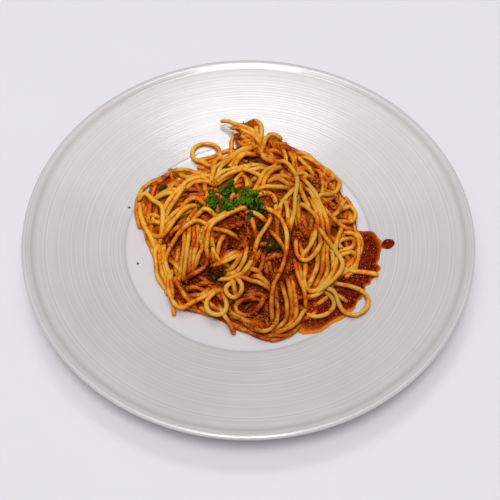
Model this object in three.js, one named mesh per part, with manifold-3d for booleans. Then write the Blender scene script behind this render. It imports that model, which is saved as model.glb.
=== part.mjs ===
// Spaghetti bolognese on a round dinner plate, in millimetres, +Z up.
// The origin is on the plate's axis, at the height of its foot ring.
// The plate is turned from one profile. On it lie a heap of spaghetti with its meat sauce, a puddle and a
// drop of sauce that ran out of the heap, a lump of herbed meat and five sprigs of parsley.
import * as THREE from "three";
import { mergeVertices } from "three/addons/utils/BufferGeometryUtils.js";
import Module from "manifold-3d";

const wasm = await Module();
wasm.setup();

// Driving sizes
const TOUCH_GAP = 0.35; // between pieces that rest on each other
const UNDER_PLATE_TOP = 2; // how low food is made before it is cut to the plate
const MERGE_DISTANCE = 1e-4; // between the points of a geometry that are one corner
const PLATE_SIDES = 56;
const NOODLE_RADIUS = 1.5;
const NOODLE_SIDES = 5;
const NOODLE_STEP = 6.4; // along a noodle, along one on the plate, and along one that curls in a small loop
const END_STEP = 4.4;
const LOOP_STEP = 3.4;
const LOOP_ANGLE = 30; // between the points of a loop's route
const NOODLE_BEND = 8; // radius of the tightest bend where one noodle lies over another
const NOODLE_SHOWS = 0.75; // share of its radius by which a noodle's middle line lies above the core
const NOODLE_CORNER = 1.08; // from the noodle's radius out to the corners of its section, to keep its area
const NOODLE_PRESS = 0.8; // share of its full height by which a noodle lies over another: they press together
const GROUND_LIFT = TOUCH_GAP + 1.15 * NOODLE_RADIUS; // of a noodle's middle line over what it lies on
const PLATE_RADIUS = 150;
const FOOT_FLAT = [79.5, 82.5]; // the foot ring's flat underside, inner and outer radius

// The plate's upper surface, from its middle to the top of its lip, as [radius, height]
const PLATE_TOP = [
  [0, 9],
  [58, 9.4],
  [78.5, 10.2],
  [82.7, 11.6],
  [100, 15.6],
  [124, 21.4],
  [143, 26],
  [146, 27.4],
  [147.8, 28],
];
// The rest of its profile: round the edge and back along the underside to the middle
const PLATE_UNDER = [
  [149.4, 27.6],
  [PLATE_RADIUS, 26.4],
  [149.2, 25.2],
  [143, 22.6],
  [118, 15.6],
  [92, 8.4],
  [84.5, 5.6],
  [FOOT_FLAT[1], 0],
  [FOOT_FLAT[0], 0],
  [77, 4.4],
  [0, 4.8],
];

// The heap's outline round its own middle, as [azimuth in degrees, radius]
const HEAP_MIDDLE = [0, 5];
const HEAP_OUTLINE = [
  [0, 76], [34, 75], [60, 76], [88, 82], [108, 68], [128, 68],
  [146, 79], [165, 78], [180, 71], [192, 64], [206, 66], [227, 72],
  [245, 67], [262, 70], [282, 82], [300, 76], [321, 69], [345, 75],
];
const CORE_INSET = 1.8; // from the outline of the noodles in to that of the core
const HEAP_HEIGHT = 37; // of the noodles over the plate at the crown
const HEAP_FULLNESS = [2, 0.72]; // exponents of its dome, along the radius and up
const EDGE_HEIGHT = 3; // of the core where it meets the plate
const NOODLE_LAYER = 2.3; // from the core up to the tops of the noodles on it
const SWELL = 0.7; // height of its uneven swells
const CORE_CROWDING = 0.8; // under 1 this sets the rings of its surface closer together near the edge
const CORE_RINGS = 7;
const CORE_SIDES = 32;

// Where the noodles that show run, as points [x, y] seen from above, the lowest noodles first
const ROUTES = {
  back_crest: [[63, 42], [53, 58], [38, 70], [22, 79], [6, 84]],
  back_slope: [[-40, 64], [-22, 72], [0, 76], [24, 70], [44, 56]],
  back_left: [[-72, 42], [-62, 53], [-48, 58], [-34, 63]],
  left_rim: [[-68, 48], [-75, 38], [-76, 28], [-73, 14], [-66, 0]],
  left_flank: [[-66, 6], [-62, -8], [-60, -20], [-56, -32], [-50, -43]],
  left_long_loop: [[-53, -30], [-49, -41], [-43, -48], [-35, -51], [-26, -49], [-17, -45]],
  left_big_arc: [[-20, -1], [-32, -1], [-42, -3], [-49, -9], [-51, -18], [-49, -28]],
  fan_left: [[-41, -5], [-42, -14], [-44, -23], [-43, -31]],
  fan_right: [[-34, -4], [-34, -14], [-36, -24], [-35, -33]],
  fan_curl: [[-27, -8], [-27, -18], [-30, -28], [-38, -36]],
  upper_left_band: [[-27, 62], [-28, 46], [-34, 35], [-48, 32], [-66, 34]],
  upper_left_slant: [[-70, 34], [-63, 26], [-57, 17], [-56, 6]],
  left_cross: [[-30, 24], [-42, 20], [-52, 15], [-62, 11]],
  bottom_edge: [[-20, -59], [-11, -66], [2, -71], [14, -70]],
  bottom_parallel: [[21, -40], [24, -52], [24, -62], [18, -70], [8, -73]],
  bottom_outer: [[29, -42], [32, -53], [30, -63], [22, -72], [12, -76]],
  bottom_right_edge: [[40, -50], [36, -60], [29, -69], [19, -76]],
  right_flow: [[42, 30], [47, 20], [51, 8], [54, -5], [55, -17]],
  right_rim: [[67, 34], [67, 24], [62, 14], [54, 8]],
  right_rim_outer: [[70, 28], [74, 14], [75, 0], [73, -13], [65, -24]],
  right_slant: [[46, 27], [54, 31], [60, 38], [60, 46]],
  right_big_loop: [[46, -5], [56, -14], [60, -24], [55, -36], [42, -46]],
  right_inner_loop: [[30, -27], [32, -38], [38, -44], [44, -37], [46, -22]],
  right_hook: [[31, -14], [31, -22], [36, -27], [42, -22], [48, -11]],
  right_flow_inner: [[37, 34], [40, 22], [44, 8], [46, -6]],
  back_middle: [[-34, 52], [-14, 62], [10, 66], [34, 58]],
  left_middle: [[-64, 22], [-54, 25], [-44, 29], [-32, 29]],
  left_shoulder: [[-60, 47], [-50, 44], [-40, 46], [-30, 52]],
  left_hook: [[-8, 3], [-18, 0], [-26, -6], [-27, -14], [-24, -22], [-22, -31]],
  centre_arc: [[7, 8], [14, 4], [20, -1], [25, -9]],
  crown_bend: [[8, 17], [13, 18.5], [17, 14], [18, 6], [16, -3]],
  crown_cross: [[9, 23], [16, 26], [23, 29]],
  crown_slope: [[-16, 70], [-19, 56], [-24, 44], [-26, 30], [-30, 18]],
  crown_long: [[24, 57], [31, 46], [32, 34], [30, 18], [28, 0]],
  crown_long_inner: [[29, 34], [26, 20], [21, 8], [20, -2]],
  crown_band: [[-20, 37], [-10, 41], [2, 41], [12, 33]],
  crown_pair: [[14, 31], [18, 40], [20, 51], [14, 62]],
  centre_line: [[25, -12], [24, -24], [20, -36], [15, -48], [15, -62]],
  centre_slant: [[-6, -41], [5, -44], [15, -47]],
  swirl_feeder: [[14, -2], [11, -11], [5, -20], [3, -28]],
  tongue_side: [[-14, 72], [-11, 86], [0, 92], [12, 86], [20, 74]],
};

// Loops of noodle, as their middle [x, y], their half widths, and where they start and end in degrees
const LOOPS = {
  back_left_ring: { middle: [-31, 75], half: [9.5, 7.5], from: -50, to: 270 },
  swirl_outer: { middle: [-9, -25], half: [14, 14], from: 30, to: -165 },
  swirl_inner: { middle: [-10, -26], half: [8.5, 9], from: 40, to: -150 },
  bottom_left_ring: { middle: [-20, -54], half: [6, 5.5], from: 60, to: 385 },
  bottom_ring: { middle: [-10, -45], half: [5, 5], from: 130, to: 450 },
  bottom_bowl: { middle: [0, -56], half: [8, 7], from: 200, to: 345 },
};
// Noodles that come out from under the heap and lie on the plate or on the puddle of sauce
const ENDS = {
  plate_loop: [
    [50, -30], [60, -33.5], [68, -36], [75, -41], [78, -48], [75.5, -55],
    [69, -59], [62, -56], [58.5, -49], [56, -42], [48, -37],
  ],
  puddle_end: [[58, -17], [70, -20], [78, -22], [86, -25]],
  puddle_arc: [[46, -36], [54, -42], [56, -49], [51, -56], [43, -58], [35, -54]],
  tongue_end: [[10, 72], [4, 84], [-7, 92], [-19, 98]],
  tongue_back: [[14, 76], [11, 88], [8, 97], [1, 101], [-6, 100]],
};

// The puddle of sauce beside the heap, its outline clockwise from above, and the drop next to it
const PUDDLE_OUTLINE = [
  [60, 5], [76, 8], [84, 7.5], [88.5, 0], [85, -15], [84, -26], [77, -32],
  [73, -40], [66, -53], [58, -59], [49, -65], [38, -70], [30, -66], [48, -30],
];
const PUDDLE_DEPTH = 1.5;
const PUDDLE_MIDDLE = [62, -24];
const PUDDLE_RINGS = 5;
const PUDDLE_SIDES = 26;
const PUDDLE_SEEK = 0.25; // step with which its edge is found
const PUDDLE_THINS = 0.5; // share of its depth that is lost at its edge
const DROP = { middle: [94, -3], radius: 4.2, height: 1.7, edge: 0.4, rings: 3, sides: 16 };

// The lump of herbed meat and the parsley on the heap: middle, half widths and turn in degrees
const LUMP = { middle: [-21, -37], half: [6.6, 4.8, 3.6], lift: 1.6, rough: 0.1 };
const SPRIGS = [
  { middle: [-24.5, 15], half: [4.6, 8.4], turn: 8, petals: 4 },
  { middle: [-13.5, 27], half: [7.4, 7.6], turn: -20, petals: 5 },
  { middle: [-0.5, 18], half: [7.2, 8.8], turn: 10, petals: 5 },
  { middle: [-14.5, 10.5], half: [5.8, 6.4], turn: 30, petals: 4 },
  { middle: [9, 7], half: [4.6, 6.6], turn: 25, petals: 4 },
];
const LEAF_RINGS = 3;
const LEAF_THICKNESS = 0.9;
const LEAF_LIFT = 1.5; // of a leaf's middle surface over the core
const LEAF_ARCH = 1.2; // its middle over its edge
const LEAF_RUFFLE = 0.75; // height of the waves of its edge
const LEAF_NOTCH = 0.14; // share by which its edge is drawn in between lobes

// Crumbs of meat in the sauce: middle of each patch, its radius and how many lie there
const CRUMB_PATCHES = [
  { middle: [-6, -8], spread: 12, count: 5 },
  { middle: [17, -27], spread: 5, count: 2 },
  { middle: [37, -8], spread: 5, count: 2 },
  { middle: [4, -66], spread: 6, count: 2 },
  { middle: [-44, 5], spread: 6, count: 2 },
  { middle: [28, 76], spread: 5, count: 2 },
  { middle: [3, 95], spread: 5, count: 2 },
];
const CRUMB_RADIUS = [1.7, 2.6];
const CRUMB_FLAT = 0.85; // its height as a share of its width
const CRUMB_OUT = [0.35, 1]; // how far out in its patch it lies
const CRUMB_STRAY = 0.2; // share of a turn by which it strays from an even ring
const HERB_FLECKS = [[-58, 42], [-2, 55], [5, 53], [-15, 47], [1, 0], [14, -23], [12, -14]];
const FLECK_RADIUS = 1.6;
const FLECK_FLAT = 0.5;

const COLOURS = {
  porcelain: 0xdfddde,
  pasta: 0xd79138,
  sauce: 0x6e1a08,
  meat: 0x2c1608,
  parsley: 0x3e7016,
};

// A seeded draw from 0 to 1, so that the heap is the same each time
let seed = 20;
function draw() {
  seed = (seed * 1664525 + 1013904223) % 4294967296;
  return seed / 4294967296;
}

const smooth = (t) => t * t * (3 - 2 * t);
const radians = THREE.MathUtils.degToRad;

function plateTop(x, y) {
  const r = Math.hypot(x, y);
  const i = Math.max(1, PLATE_TOP.findIndex(([radius]) => radius >= r));
  const [r0, z0] = PLATE_TOP[i - 1];
  const [r1, z1] = PLATE_TOP[i];
  return z0 + ((z1 - z0) * (r - r0)) / (r1 - r0);
}

function coreRadius(azimuth) {
  const a = THREE.MathUtils.euclideanModulo(azimuth, 360);
  const last = HEAP_OUTLINE.length - 1;
  const i = HEAP_OUTLINE.findLastIndex(([start]) => start <= a);
  const [a0, r0] = HEAP_OUTLINE[i];
  const [a1, r1] = i === last ? [360, HEAP_OUTLINE[0][1]] : HEAP_OUTLINE[i + 1];
  return r0 + (r1 - r0) * smooth((a - a0) / (a1 - a0)) - CORE_INSET;
}

// The share of the way from the heap's middle to its outline, 1 or more outside it
function share(x, y) {
  const dx = x - HEAP_MIDDLE[0];
  const dy = y - HEAP_MIDDLE[1];
  return Math.hypot(dx, dy) / coreRadius(THREE.MathUtils.radToDeg(Math.atan2(dy, dx)));
}

// The top of the heap's core at a point inside its outline: a dome with uneven swells
function coreTop(x, y) {
  const rho = Math.min(share(x, y), 1);
  const dome = HEAP_HEIGHT * (1 - rho ** HEAP_FULLNESS[0]) ** HEAP_FULLNESS[1];
  const swell = SWELL * (Math.sin(x / 7.3 + 1) * Math.sin(y / 6.1) + 0.6 * Math.sin((x + y) / 3.7));
  return plateTop(x, y) + Math.max(dome - NOODLE_LAYER, EDGE_HEIGHT) + swell * (1 - rho);
}

function insidePuddle(x, y) {
  let inside = false;
  PUDDLE_OUTLINE.forEach(([x0, y0], i) => {
    const [x1, y1] = PUDDLE_OUTLINE[(i + 1) % PUDDLE_OUTLINE.length];
    if (y0 > y !== y1 > y && x < x0 + ((x1 - x0) * (y - y0)) / (y1 - y0)) inside = !inside;
  });
  return inside;
}

// The height of a noodle's middle line where it lies on the plate or on the puddle
function ground(x, y) {
  const reach = [-1, 0, 1].map((side) => side * 1.6 * NOODLE_RADIUS);
  const wet = reach.some((dx) => reach.some((dy) => insidePuddle(x + dx, y + dy)));
  return plateTop(x, y) + (wet ? PUDDLE_DEPTH + TOUCH_GAP : 0) + GROUND_LIFT;
}

// The same where it lies on the heap, sunk a little into the core
function heapTop(x, y) {
  const core = share(x, y) < 1 ? coreTop(x, y) + NOODLE_SHOWS * NOODLE_RADIUS : 0;
  return Math.max(core, ground(x, y));
}

// Any closed three.js geometry as a solid that can be joined and cut
function solid(geometry) {
  const bare = geometry.clone();
  for (const name of Object.keys(bare.attributes)) if (name !== "position") bare.deleteAttribute(name);
  const merged = mergeVertices(bare, MERGE_DISTANCE);
  const index = merged.index.array;
  const triVerts = [];
  for (let i = 0; i < index.length; i += 3) {
    const [a, b, c] = [index[i], index[i + 1], index[i + 2]];
    if (a !== b && b !== c && a !== c) triVerts.push(a, b, c);
  }
  const vertProperties = new Float32Array(merged.attributes.position.array);
  return new wasm.Manifold(new wasm.Mesh({ numProp: 3, vertProperties, triVerts: new Uint32Array(triVerts) }));
}

// A solid as a mesh, without the loose scraps that a cut can leave
function meshOf(name, body, colour, roughness) {
  const whole = body.decompose().sort((a, b) => b.volume() - a.volume())[0];
  const { numProp, vertProperties, triVerts } = whole.getMesh();
  const positions = new Float32Array((vertProperties.length / numProp) * 3);
  for (let i = 0; i < positions.length / 3; i++)
    positions.set(vertProperties.subarray(i * numProp, i * numProp + 3), i * 3);
  const geometry = new THREE.BufferGeometry();
  geometry.setAttribute("position", new THREE.BufferAttribute(positions, 3));
  geometry.setIndex(new THREE.BufferAttribute(triVerts, 1));
  geometry.computeVertexNormals();
  const material = new THREE.MeshStandardMaterial({ color: colour, roughness, metalness: 0 });
  const mesh = new THREE.Mesh(geometry, material);
  mesh.name = name;
  return mesh;
}

// A closed sheet between two height functions over rings of points
function sheet(rings, sides, place, top, bottom) {
  const positions = [];
  const index = [];
  for (const height of [top, bottom])
    for (let ring = 0; ring <= rings; ring++)
      for (let side = 0; side < (ring ? sides : 1); side++) {
        const [x, y] = place(ring / rings, (side / sides) * 360);
        positions.push(x, y, height(x, y, ring / rings, (side / sides) * 360));
      }
  const perFace = 1 + rings * sides;
  const at = (face, ring, side) => face * perFace + (ring ? 1 + (ring - 1) * sides + (side % sides) : 0);
  for (let face = 0; face < 2; face++) {
    const push = (a, b, c) => (face ? index.push(a, c, b) : index.push(a, b, c));
    for (let side = 0; side < sides; side++) {
      push(at(face, 0, 0), at(face, 1, side), at(face, 1, side + 1));
      for (let ring = 1; ring < rings; ring++) {
        push(at(face, ring, side), at(face, ring + 1, side), at(face, ring + 1, side + 1));
        push(at(face, ring, side), at(face, ring + 1, side + 1), at(face, ring, side + 1));
      }
    }
  }
  for (let side = 0; side < sides; side++) {
    const [a, b] = [at(0, rings, side), at(0, rings, side + 1)];
    const [c, d] = [at(1, rings, side), at(1, rings, side + 1)];
    index.push(a, c, b, b, c, d);
  }
  const geometry = new THREE.BufferGeometry();
  geometry.setAttribute("position", new THREE.Float32BufferAttribute(positions, 3));
  geometry.setIndex(index);
  return solid(geometry);
}

// The place of a sheet's points round a middle, where radius gives their distance out
function polar(middle, radius) {
  return (part, azimuth) => [
    middle[0] + radius(part, azimuth) * Math.cos(radians(azimuth)),
    middle[1] + radius(part, azimuth) * Math.sin(radians(azimuth)),
  ];
}

function turned(profile, sides) {
  const lathe = new THREE.LatheGeometry(
    profile.map(([r, z]) => new THREE.Vector2(r, z)),
    sides,
  );
  return solid(lathe.rotateX(Math.PI / 2));
}

// The plate, turned from its profile, which runs up from the foot and back over the top to the axis
function plate() {
  return turned([...PLATE_TOP, ...PLATE_UNDER].reverse(), PLATE_SIDES);
}

// What must be cut from any food so that it clears the plate
function plateClearance() {
  const raised = PLATE_TOP.map(([r, z]) => [r, z + TOUCH_GAP]);
  const [outside, low] = [PLATE_RADIUS + 10, -10];
  return turned([...raised, [outside, raised.at(-1)[1]], [outside, low], [0, low]].reverse(), PLATE_SIDES / 2);
}

// The heap's solid core under the noodles that show, its outline and top grown by the margin asked for
function core(grown) {
  const radius = (part, azimuth) => part ** CORE_CROWDING * (coreRadius(azimuth) + grown);
  const top = (x, y) => coreTop(x, y) + grown;
  return sheet(CORE_RINGS, CORE_SIDES, polar(HEAP_MIDDLE, radius), top, () => UNDER_PLATE_TOP);
}

const laid = []; // points of the noodles already laid, as [x, y, z]

// Lays a noodle along its route: it rests on its bed and on the noodles laid before it, and bends gently
function lay(route, bed, step) {
  const flat = route.map(([x, y]) => new THREE.Vector3(x, y, 0));
  const curve = new THREE.CatmullRomCurve3(flat, false, "centripetal");
  const count = Math.round(curve.getLength() / step);
  const points = curve.getSpacedPoints(count * 2);
  const width = 2 * NOODLE_RADIUS;
  const rest = points.map(({ x, y }) => {
    const over = laid.map(([a, b, z]) => {
      const apart = Math.hypot(a - x, b - y);
      return apart < width ? z + NOODLE_PRESS * Math.sqrt(width ** 2 - apart ** 2) : -Infinity;
    });
    return Math.max(bed(x, y), ...over);
  });
  const heights = rest.map((_, i) =>
    Math.max(...rest.map((z, j) => z - ((i - j) * step * 0.5) ** 2 / (2 * NOODLE_BEND))),
  );
  points.forEach((p, i) => {
    p.z = heights[i];
    laid.push(p.toArray());
  });
  return { points: points.filter((_, i) => i % 2 === 0), steps: count };
}

function noodle(route, bed, step) {
  const { points, steps } = lay(route, bed, step);
  const across = new THREE.Shape();
  const reach = NOODLE_RADIUS * NOODLE_CORNER;
  for (let side = 0; side < NOODLE_SIDES; side++) {
    const angle = (side / NOODLE_SIDES) * 2 * Math.PI;
    const corner = [Math.cos(angle) * reach, Math.sin(angle) * reach];
    if (side) across.lineTo(...corner);
    else across.moveTo(...corner);
  }
  const extrudePath = new THREE.CatmullRomCurve3(points);
  return solid(new THREE.ExtrudeGeometry(across, { steps, extrudePath, bevelEnabled: false }));
}

function loopRoute({ middle, half, from, to }) {
  const count = Math.ceil(Math.abs(to - from) / LOOP_ANGLE);
  return Array.from({ length: count + 1 }, (_, i) => {
    const angle = radians(from + ((to - from) * i) / count);
    return [middle[0] + half[0] * Math.cos(angle), middle[1] + half[1] * Math.sin(angle)];
  });
}

// A crumb: a rough stone shape, turned at random, sunk to a third of its height
function crumb(x, y, radius, flat) {
  const stone = new THREE.IcosahedronGeometry(radius, 0);
  stone.scale(1 + 0.4 * draw(), 0.8 + 0.3 * draw(), flat).rotateZ(draw() * Math.PI);
  const level = share(x, y) < 1 ? coreTop(x, y) + (radius * flat) / 3 : ground(x, y);
  return solid(stone.translate(x, y, level));
}

function crumbs() {
  const made = [];
  for (const { middle, spread, count } of CRUMB_PATCHES)
    for (let i = 0; i < count; i++) {
      const angle = (i / count + CRUMB_STRAY * draw()) * 2 * Math.PI;
      const out = spread * THREE.MathUtils.lerp(...CRUMB_OUT, draw());
      const [x, y] = [middle[0] + out * Math.cos(angle), middle[1] + out * Math.sin(angle)];
      made.push(crumb(x, y, THREE.MathUtils.lerp(...CRUMB_RADIUS, draw()), CRUMB_FLAT));
    }
  return made;
}

// The core, its noodles, crumbs and flecks of herb joined, and cut clear of the plate and of each piece on it
function heap(clearance, pieces) {
  const noodles = [
    ...Object.values(ENDS).map((route) => noodle(route, ground, END_STEP)),
    ...Object.values(ROUTES).map((route) => noodle(route, heapTop, NOODLE_STEP)),
    ...Object.values(LOOPS).map((loop) => noodle(loopRoute(loop), heapTop, LOOP_STEP)),
  ];
  const flecks = HERB_FLECKS.map(([x, y]) => crumb(x, y, FLECK_RADIUS, FLECK_FLAT));
  let made = wasm.Manifold.union([core(0), ...noodles, ...crumbs(), ...flecks]);
  made = made.subtract(clearance);
  for (const piece of pieces) made = made.subtract(piece);
  return made;
}

// The puddle: a thin layer on the plate that thins out towards its edge
function puddle(grown) {
  const edge = (azimuth) => {
    const [cos, sin] = [Math.cos(radians(azimuth)), Math.sin(radians(azimuth))];
    let r = 1;
    while (insidePuddle(PUDDLE_MIDDLE[0] + r * cos, PUDDLE_MIDDLE[1] + r * sin)) r += PUDDLE_SEEK;
    return r + grown;
  };
  const edges = Array.from({ length: PUDDLE_SIDES }, (_, i) => edge((i / PUDDLE_SIDES) * 360));
  const radius = (part, azimuth) => part * edges[Math.round((azimuth / 360) * PUDDLE_SIDES) % PUDDLE_SIDES];
  const depth = (part) => PUDDLE_DEPTH * (1 - PUDDLE_THINS * part ** 6);
  const top = (x, y, part) => plateTop(x, y) + TOUCH_GAP + grown + depth(part);
  return sheet(PUDDLE_RINGS, PUDDLE_SIDES, polar(PUDDLE_MIDDLE, radius), top, () => UNDER_PLATE_TOP);
}

// The drop: a round bead with a low edge
function drop() {
  const rise = (part) => DROP.edge + (DROP.height - DROP.edge) * Math.sqrt(1 - part ** 2);
  const top = (x, y, part) => plateTop(x, y) + TOUCH_GAP + rise(part);
  const place = polar(DROP.middle, (part) => part * DROP.radius);
  return sheet(DROP.rings, DROP.sides, place, top, () => UNDER_PLATE_TOP);
}

// The lump: a rounded stone shape with a rough surface
function lump(grown) {
  const stone = new THREE.IcosahedronGeometry(1, 1);
  const position = stone.getAttribute("position");
  for (let i = 0; i < position.count; i++) {
    const v = new THREE.Vector3().fromBufferAttribute(position, i);
    const rough = 1 + LUMP.rough * (Math.sin(5 * v.x + 2) * Math.cos(4 * v.y) + 0.6 * Math.sin(7 * v.z));
    v.multiplyScalar(rough).multiply(new THREE.Vector3(...LUMP.half).addScalar(grown));
    position.setXYZ(i, v.x, v.y, v.z);
  }
  const [x, y] = LUMP.middle;
  return solid(stone.translate(x, y, coreTop(x, y) + LUMP.lift));
}

// A sprig of curly parsley: a thin ruffled leaf whose edge is drawn in between its lobes
function sprig({ middle, half, turn, petals }, grown) {
  const place = (part, azimuth) => {
    const lobed = 1 - LEAF_NOTCH + LEAF_NOTCH * Math.cos(radians(azimuth) * petals);
    const u = (part * half[0] * lobed + grown * part) * Math.cos(radians(azimuth));
    const v = (part * half[1] * lobed + grown * part) * Math.sin(radians(azimuth));
    const [cos, sin] = [Math.cos(radians(turn)), Math.sin(radians(turn))];
    return [middle[0] + u * cos - v * sin, middle[1] + u * sin + v * cos];
  };
  const level = (x, y, part, azimuth) =>
    coreTop(x, y) +
    LEAF_LIFT +
    LEAF_ARCH * (1 - part ** 2) +
    LEAF_RUFFLE * part * Math.sin(radians(azimuth) * petals * 2);
  const top = (...at) => level(...at) + LEAF_THICKNESS / 2 + grown;
  const bottom = (...at) => level(...at) - LEAF_THICKNESS / 2 - grown;
  return sheet(LEAF_RINGS, petals * 4, place, top, bottom);
}

const dish = new THREE.Group();
const clearance = plateClearance();
const coreClearance = core(TOUCH_GAP);
const toppings = [lump(TOUCH_GAP), ...SPRIGS.map((s) => sprig(s, TOUCH_GAP))];
const pasta = heap(clearance, [...toppings, puddle(TOUCH_GAP).subtract(core(0))]);
const wet = puddle(0).subtract(clearance).subtract(coreClearance);

dish.add(meshOf("plate", plate(), COLOURS.porcelain, 0.15));
dish.add(meshOf("spaghetti", pasta, COLOURS.pasta, 0.35));
dish.add(meshOf("sauce_puddle", wet, COLOURS.sauce, 0.2));
dish.add(meshOf("sauce_drop", drop().subtract(clearance), COLOURS.sauce, 0.2));
dish.add(meshOf("meat_lump", lump(0).subtract(coreClearance), COLOURS.meat, 0.5));
SPRIGS.forEach((s, i) => dish.add(meshOf("parsley_" + (i + 1), sprig(s, 0), COLOURS.parsley, 0.6)));

export default dish;
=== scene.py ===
import math

import bmesh
import bpy
import numpy as np
from mathutils import Matrix, Vector


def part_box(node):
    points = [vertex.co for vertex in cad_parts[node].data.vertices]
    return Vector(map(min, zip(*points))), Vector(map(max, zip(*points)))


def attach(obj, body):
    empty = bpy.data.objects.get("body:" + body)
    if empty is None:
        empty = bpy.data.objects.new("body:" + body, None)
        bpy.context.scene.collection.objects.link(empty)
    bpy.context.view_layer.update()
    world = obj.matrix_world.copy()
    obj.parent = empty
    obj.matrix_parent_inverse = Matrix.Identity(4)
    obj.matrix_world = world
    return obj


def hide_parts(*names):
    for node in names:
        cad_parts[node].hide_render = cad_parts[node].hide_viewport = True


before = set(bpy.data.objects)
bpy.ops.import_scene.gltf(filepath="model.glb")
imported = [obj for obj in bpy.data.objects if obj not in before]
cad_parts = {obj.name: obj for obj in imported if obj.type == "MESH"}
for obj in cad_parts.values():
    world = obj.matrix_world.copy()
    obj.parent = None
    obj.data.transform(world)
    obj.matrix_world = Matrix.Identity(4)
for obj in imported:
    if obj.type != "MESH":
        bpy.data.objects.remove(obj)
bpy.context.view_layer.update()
MM = 0.001

# The view of the plate: a long lens, looking down at the plate from the front at a steep angle.
# It stands straight before the plate and is not tilted sideways.
VIEW_ELEVATION = math.radians(57.18)
VIEW_DISTANCE = 0.75
VIEW_TARGET = Vector((0.0011, -0.0166, 0.028))
VIEW_LENS = 82.4
VIEW_SENSOR = 36


def added(name, data):
    """A new object in the scene."""
    thing = bpy.data.objects.new(name, data)
    bpy.context.scene.collection.objects.link(thing)
    return thing


camera = added("camera", bpy.data.cameras.new("camera"))
camera.data.lens = VIEW_LENS
camera.data.sensor_width = VIEW_SENSOR
towards_camera = Vector((0, -math.cos(VIEW_ELEVATION), math.sin(VIEW_ELEVATION)))
camera.location = VIEW_TARGET + VIEW_DISTANCE * towards_camera
camera.rotation_euler = towards_camera.to_track_quat("Z", "Y").to_euler()
camera.data.clip_start = 0.01
bpy.context.scene.camera = camera
bpy.context.scene.view_settings.view_transform = "Standard"


class Shade:
    """An output of a shader node. An expression of shades and numbers adds its Math nodes."""

    def __init__(self, tree, socket=None):
        self.tree = tree
        self.socket = socket

    def make(self, kind, settings=None, inputs=None, output=0):
        node = self.tree.nodes.new(kind)
        for name, value in (settings or {}).items():
            setattr(node, name, value)
        for name, value in (inputs or {}).items():
            if isinstance(value, Shade):
                self.tree.links.new(value.socket, node.inputs[name])
            else:
                node.inputs[name].default_value = value
        return Shade(self.tree, node.outputs[output])

    def math(self, operation, first, second=0.0):
        return self.make("ShaderNodeMath", {"operation": operation}, {0: first, 1: second})

    def __add__(self, other):
        return self.math("ADD", self, other)

    __radd__ = __add__

    def __sub__(self, other):
        return self.math("SUBTRACT", self, other)

    def __mul__(self, other):
        return self.math("MULTIPLY", self, other)

    __rmul__ = __mul__

    def __pow__(self, other):
        return self.math("POWER", self, other)

    def clear(self, low, high):
        """0 below low, 1 above high, with a smooth step between."""
        settings = {"interpolation_type": "SMOOTHSTEP"}
        return self.make("ShaderNodeMapRange", settings, {"Value": self, "From Min": low, "From Max": high})

    def blend(self, first, second):
        """A colour that goes from the first to the second as this value goes from 0 to 1."""
        inputs = {0: self, 6: first, 7: second}
        return self.make("ShaderNodeMix", {"data_type": "RGBA"}, inputs, 2)

    def attribute(self, name):
        return self.make("ShaderNodeAttribute", {"attribute_name": name}, output=2)

    def place(self):
        return self.make("ShaderNodeTexCoord", output=3)

    def noise(self, per_metre, detail=2.0, rough=0.5):
        inputs = {"Vector": self.place(), "Scale": per_metre, "Detail": detail, "Roughness": rough}
        return self.make("ShaderNodeTexNoise", inputs=inputs)

    def bump(self, height, depth, strength):
        """The normal of a surface with this height, 1 standing for depth in metres."""
        return self.make("ShaderNodeBump", inputs={"Height": height, "Distance": depth, "Strength": strength})


def colour(red, green, blue):
    """A colour as it looks on a screen, from 0 to 255, as the shader takes it."""
    def light(part):
        part /= 255
        return part / 12.92 if part <= 0.04045 else ((part + 0.055) / 1.055) ** 2.4
    return light(red), light(green), light(blue), 1.0


def finish_of(name, **constants):
    """A new material with its shader's constants set, its shader's sockets, and a shade to build from."""
    material = bpy.data.materials.new(name)
    material.use_nodes = True
    shader = material.node_tree.nodes["Principled BSDF"]
    for socket, value in constants.items():
        shader.inputs[socket.replace("_", " ")].default_value = value
    return material, shader.inputs, Shade(material.node_tree)


def dress(sockets, **shades):
    """Joins shades to sockets of the shader."""
    for socket, value in shades.items():
        value.tree.links.new(value.socket, sockets[socket.replace("_", " ")])


def smooth_mesh(name, shape):
    """A mesh, smooth all over, from a shape that isn't needed any more."""
    for face in shape.faces:
        face.smooth = True
    mesh = bpy.data.meshes.new(name)
    shape.to_mesh(mesh)
    shape.free()
    return mesh


# The table: a smooth matt top in a very pale grey, as wide as the view and far past it.
# It is only there to carry the plate's shadow.
TABLE_HALF = 4.0
shape = bmesh.new()
bmesh.ops.create_grid(shape, x_segments=1, y_segments=1, size=TABLE_HALF)
table = added("table", smooth_mesh("table", shape))
table_finish, table_sockets, shade = finish_of(
    "pale table", Roughness=0.9, Specular_IOR_Level=0.0, Emission_Strength=0.08,
    Emission_Color=colour(228, 226, 229),
)
grain = shade.noise(14.0)
dress(table_sockets, Base_Color=grain.blend(colour(207, 205, 208), colour(209, 207, 210)))
table.data.materials.append(table_finish)

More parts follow.
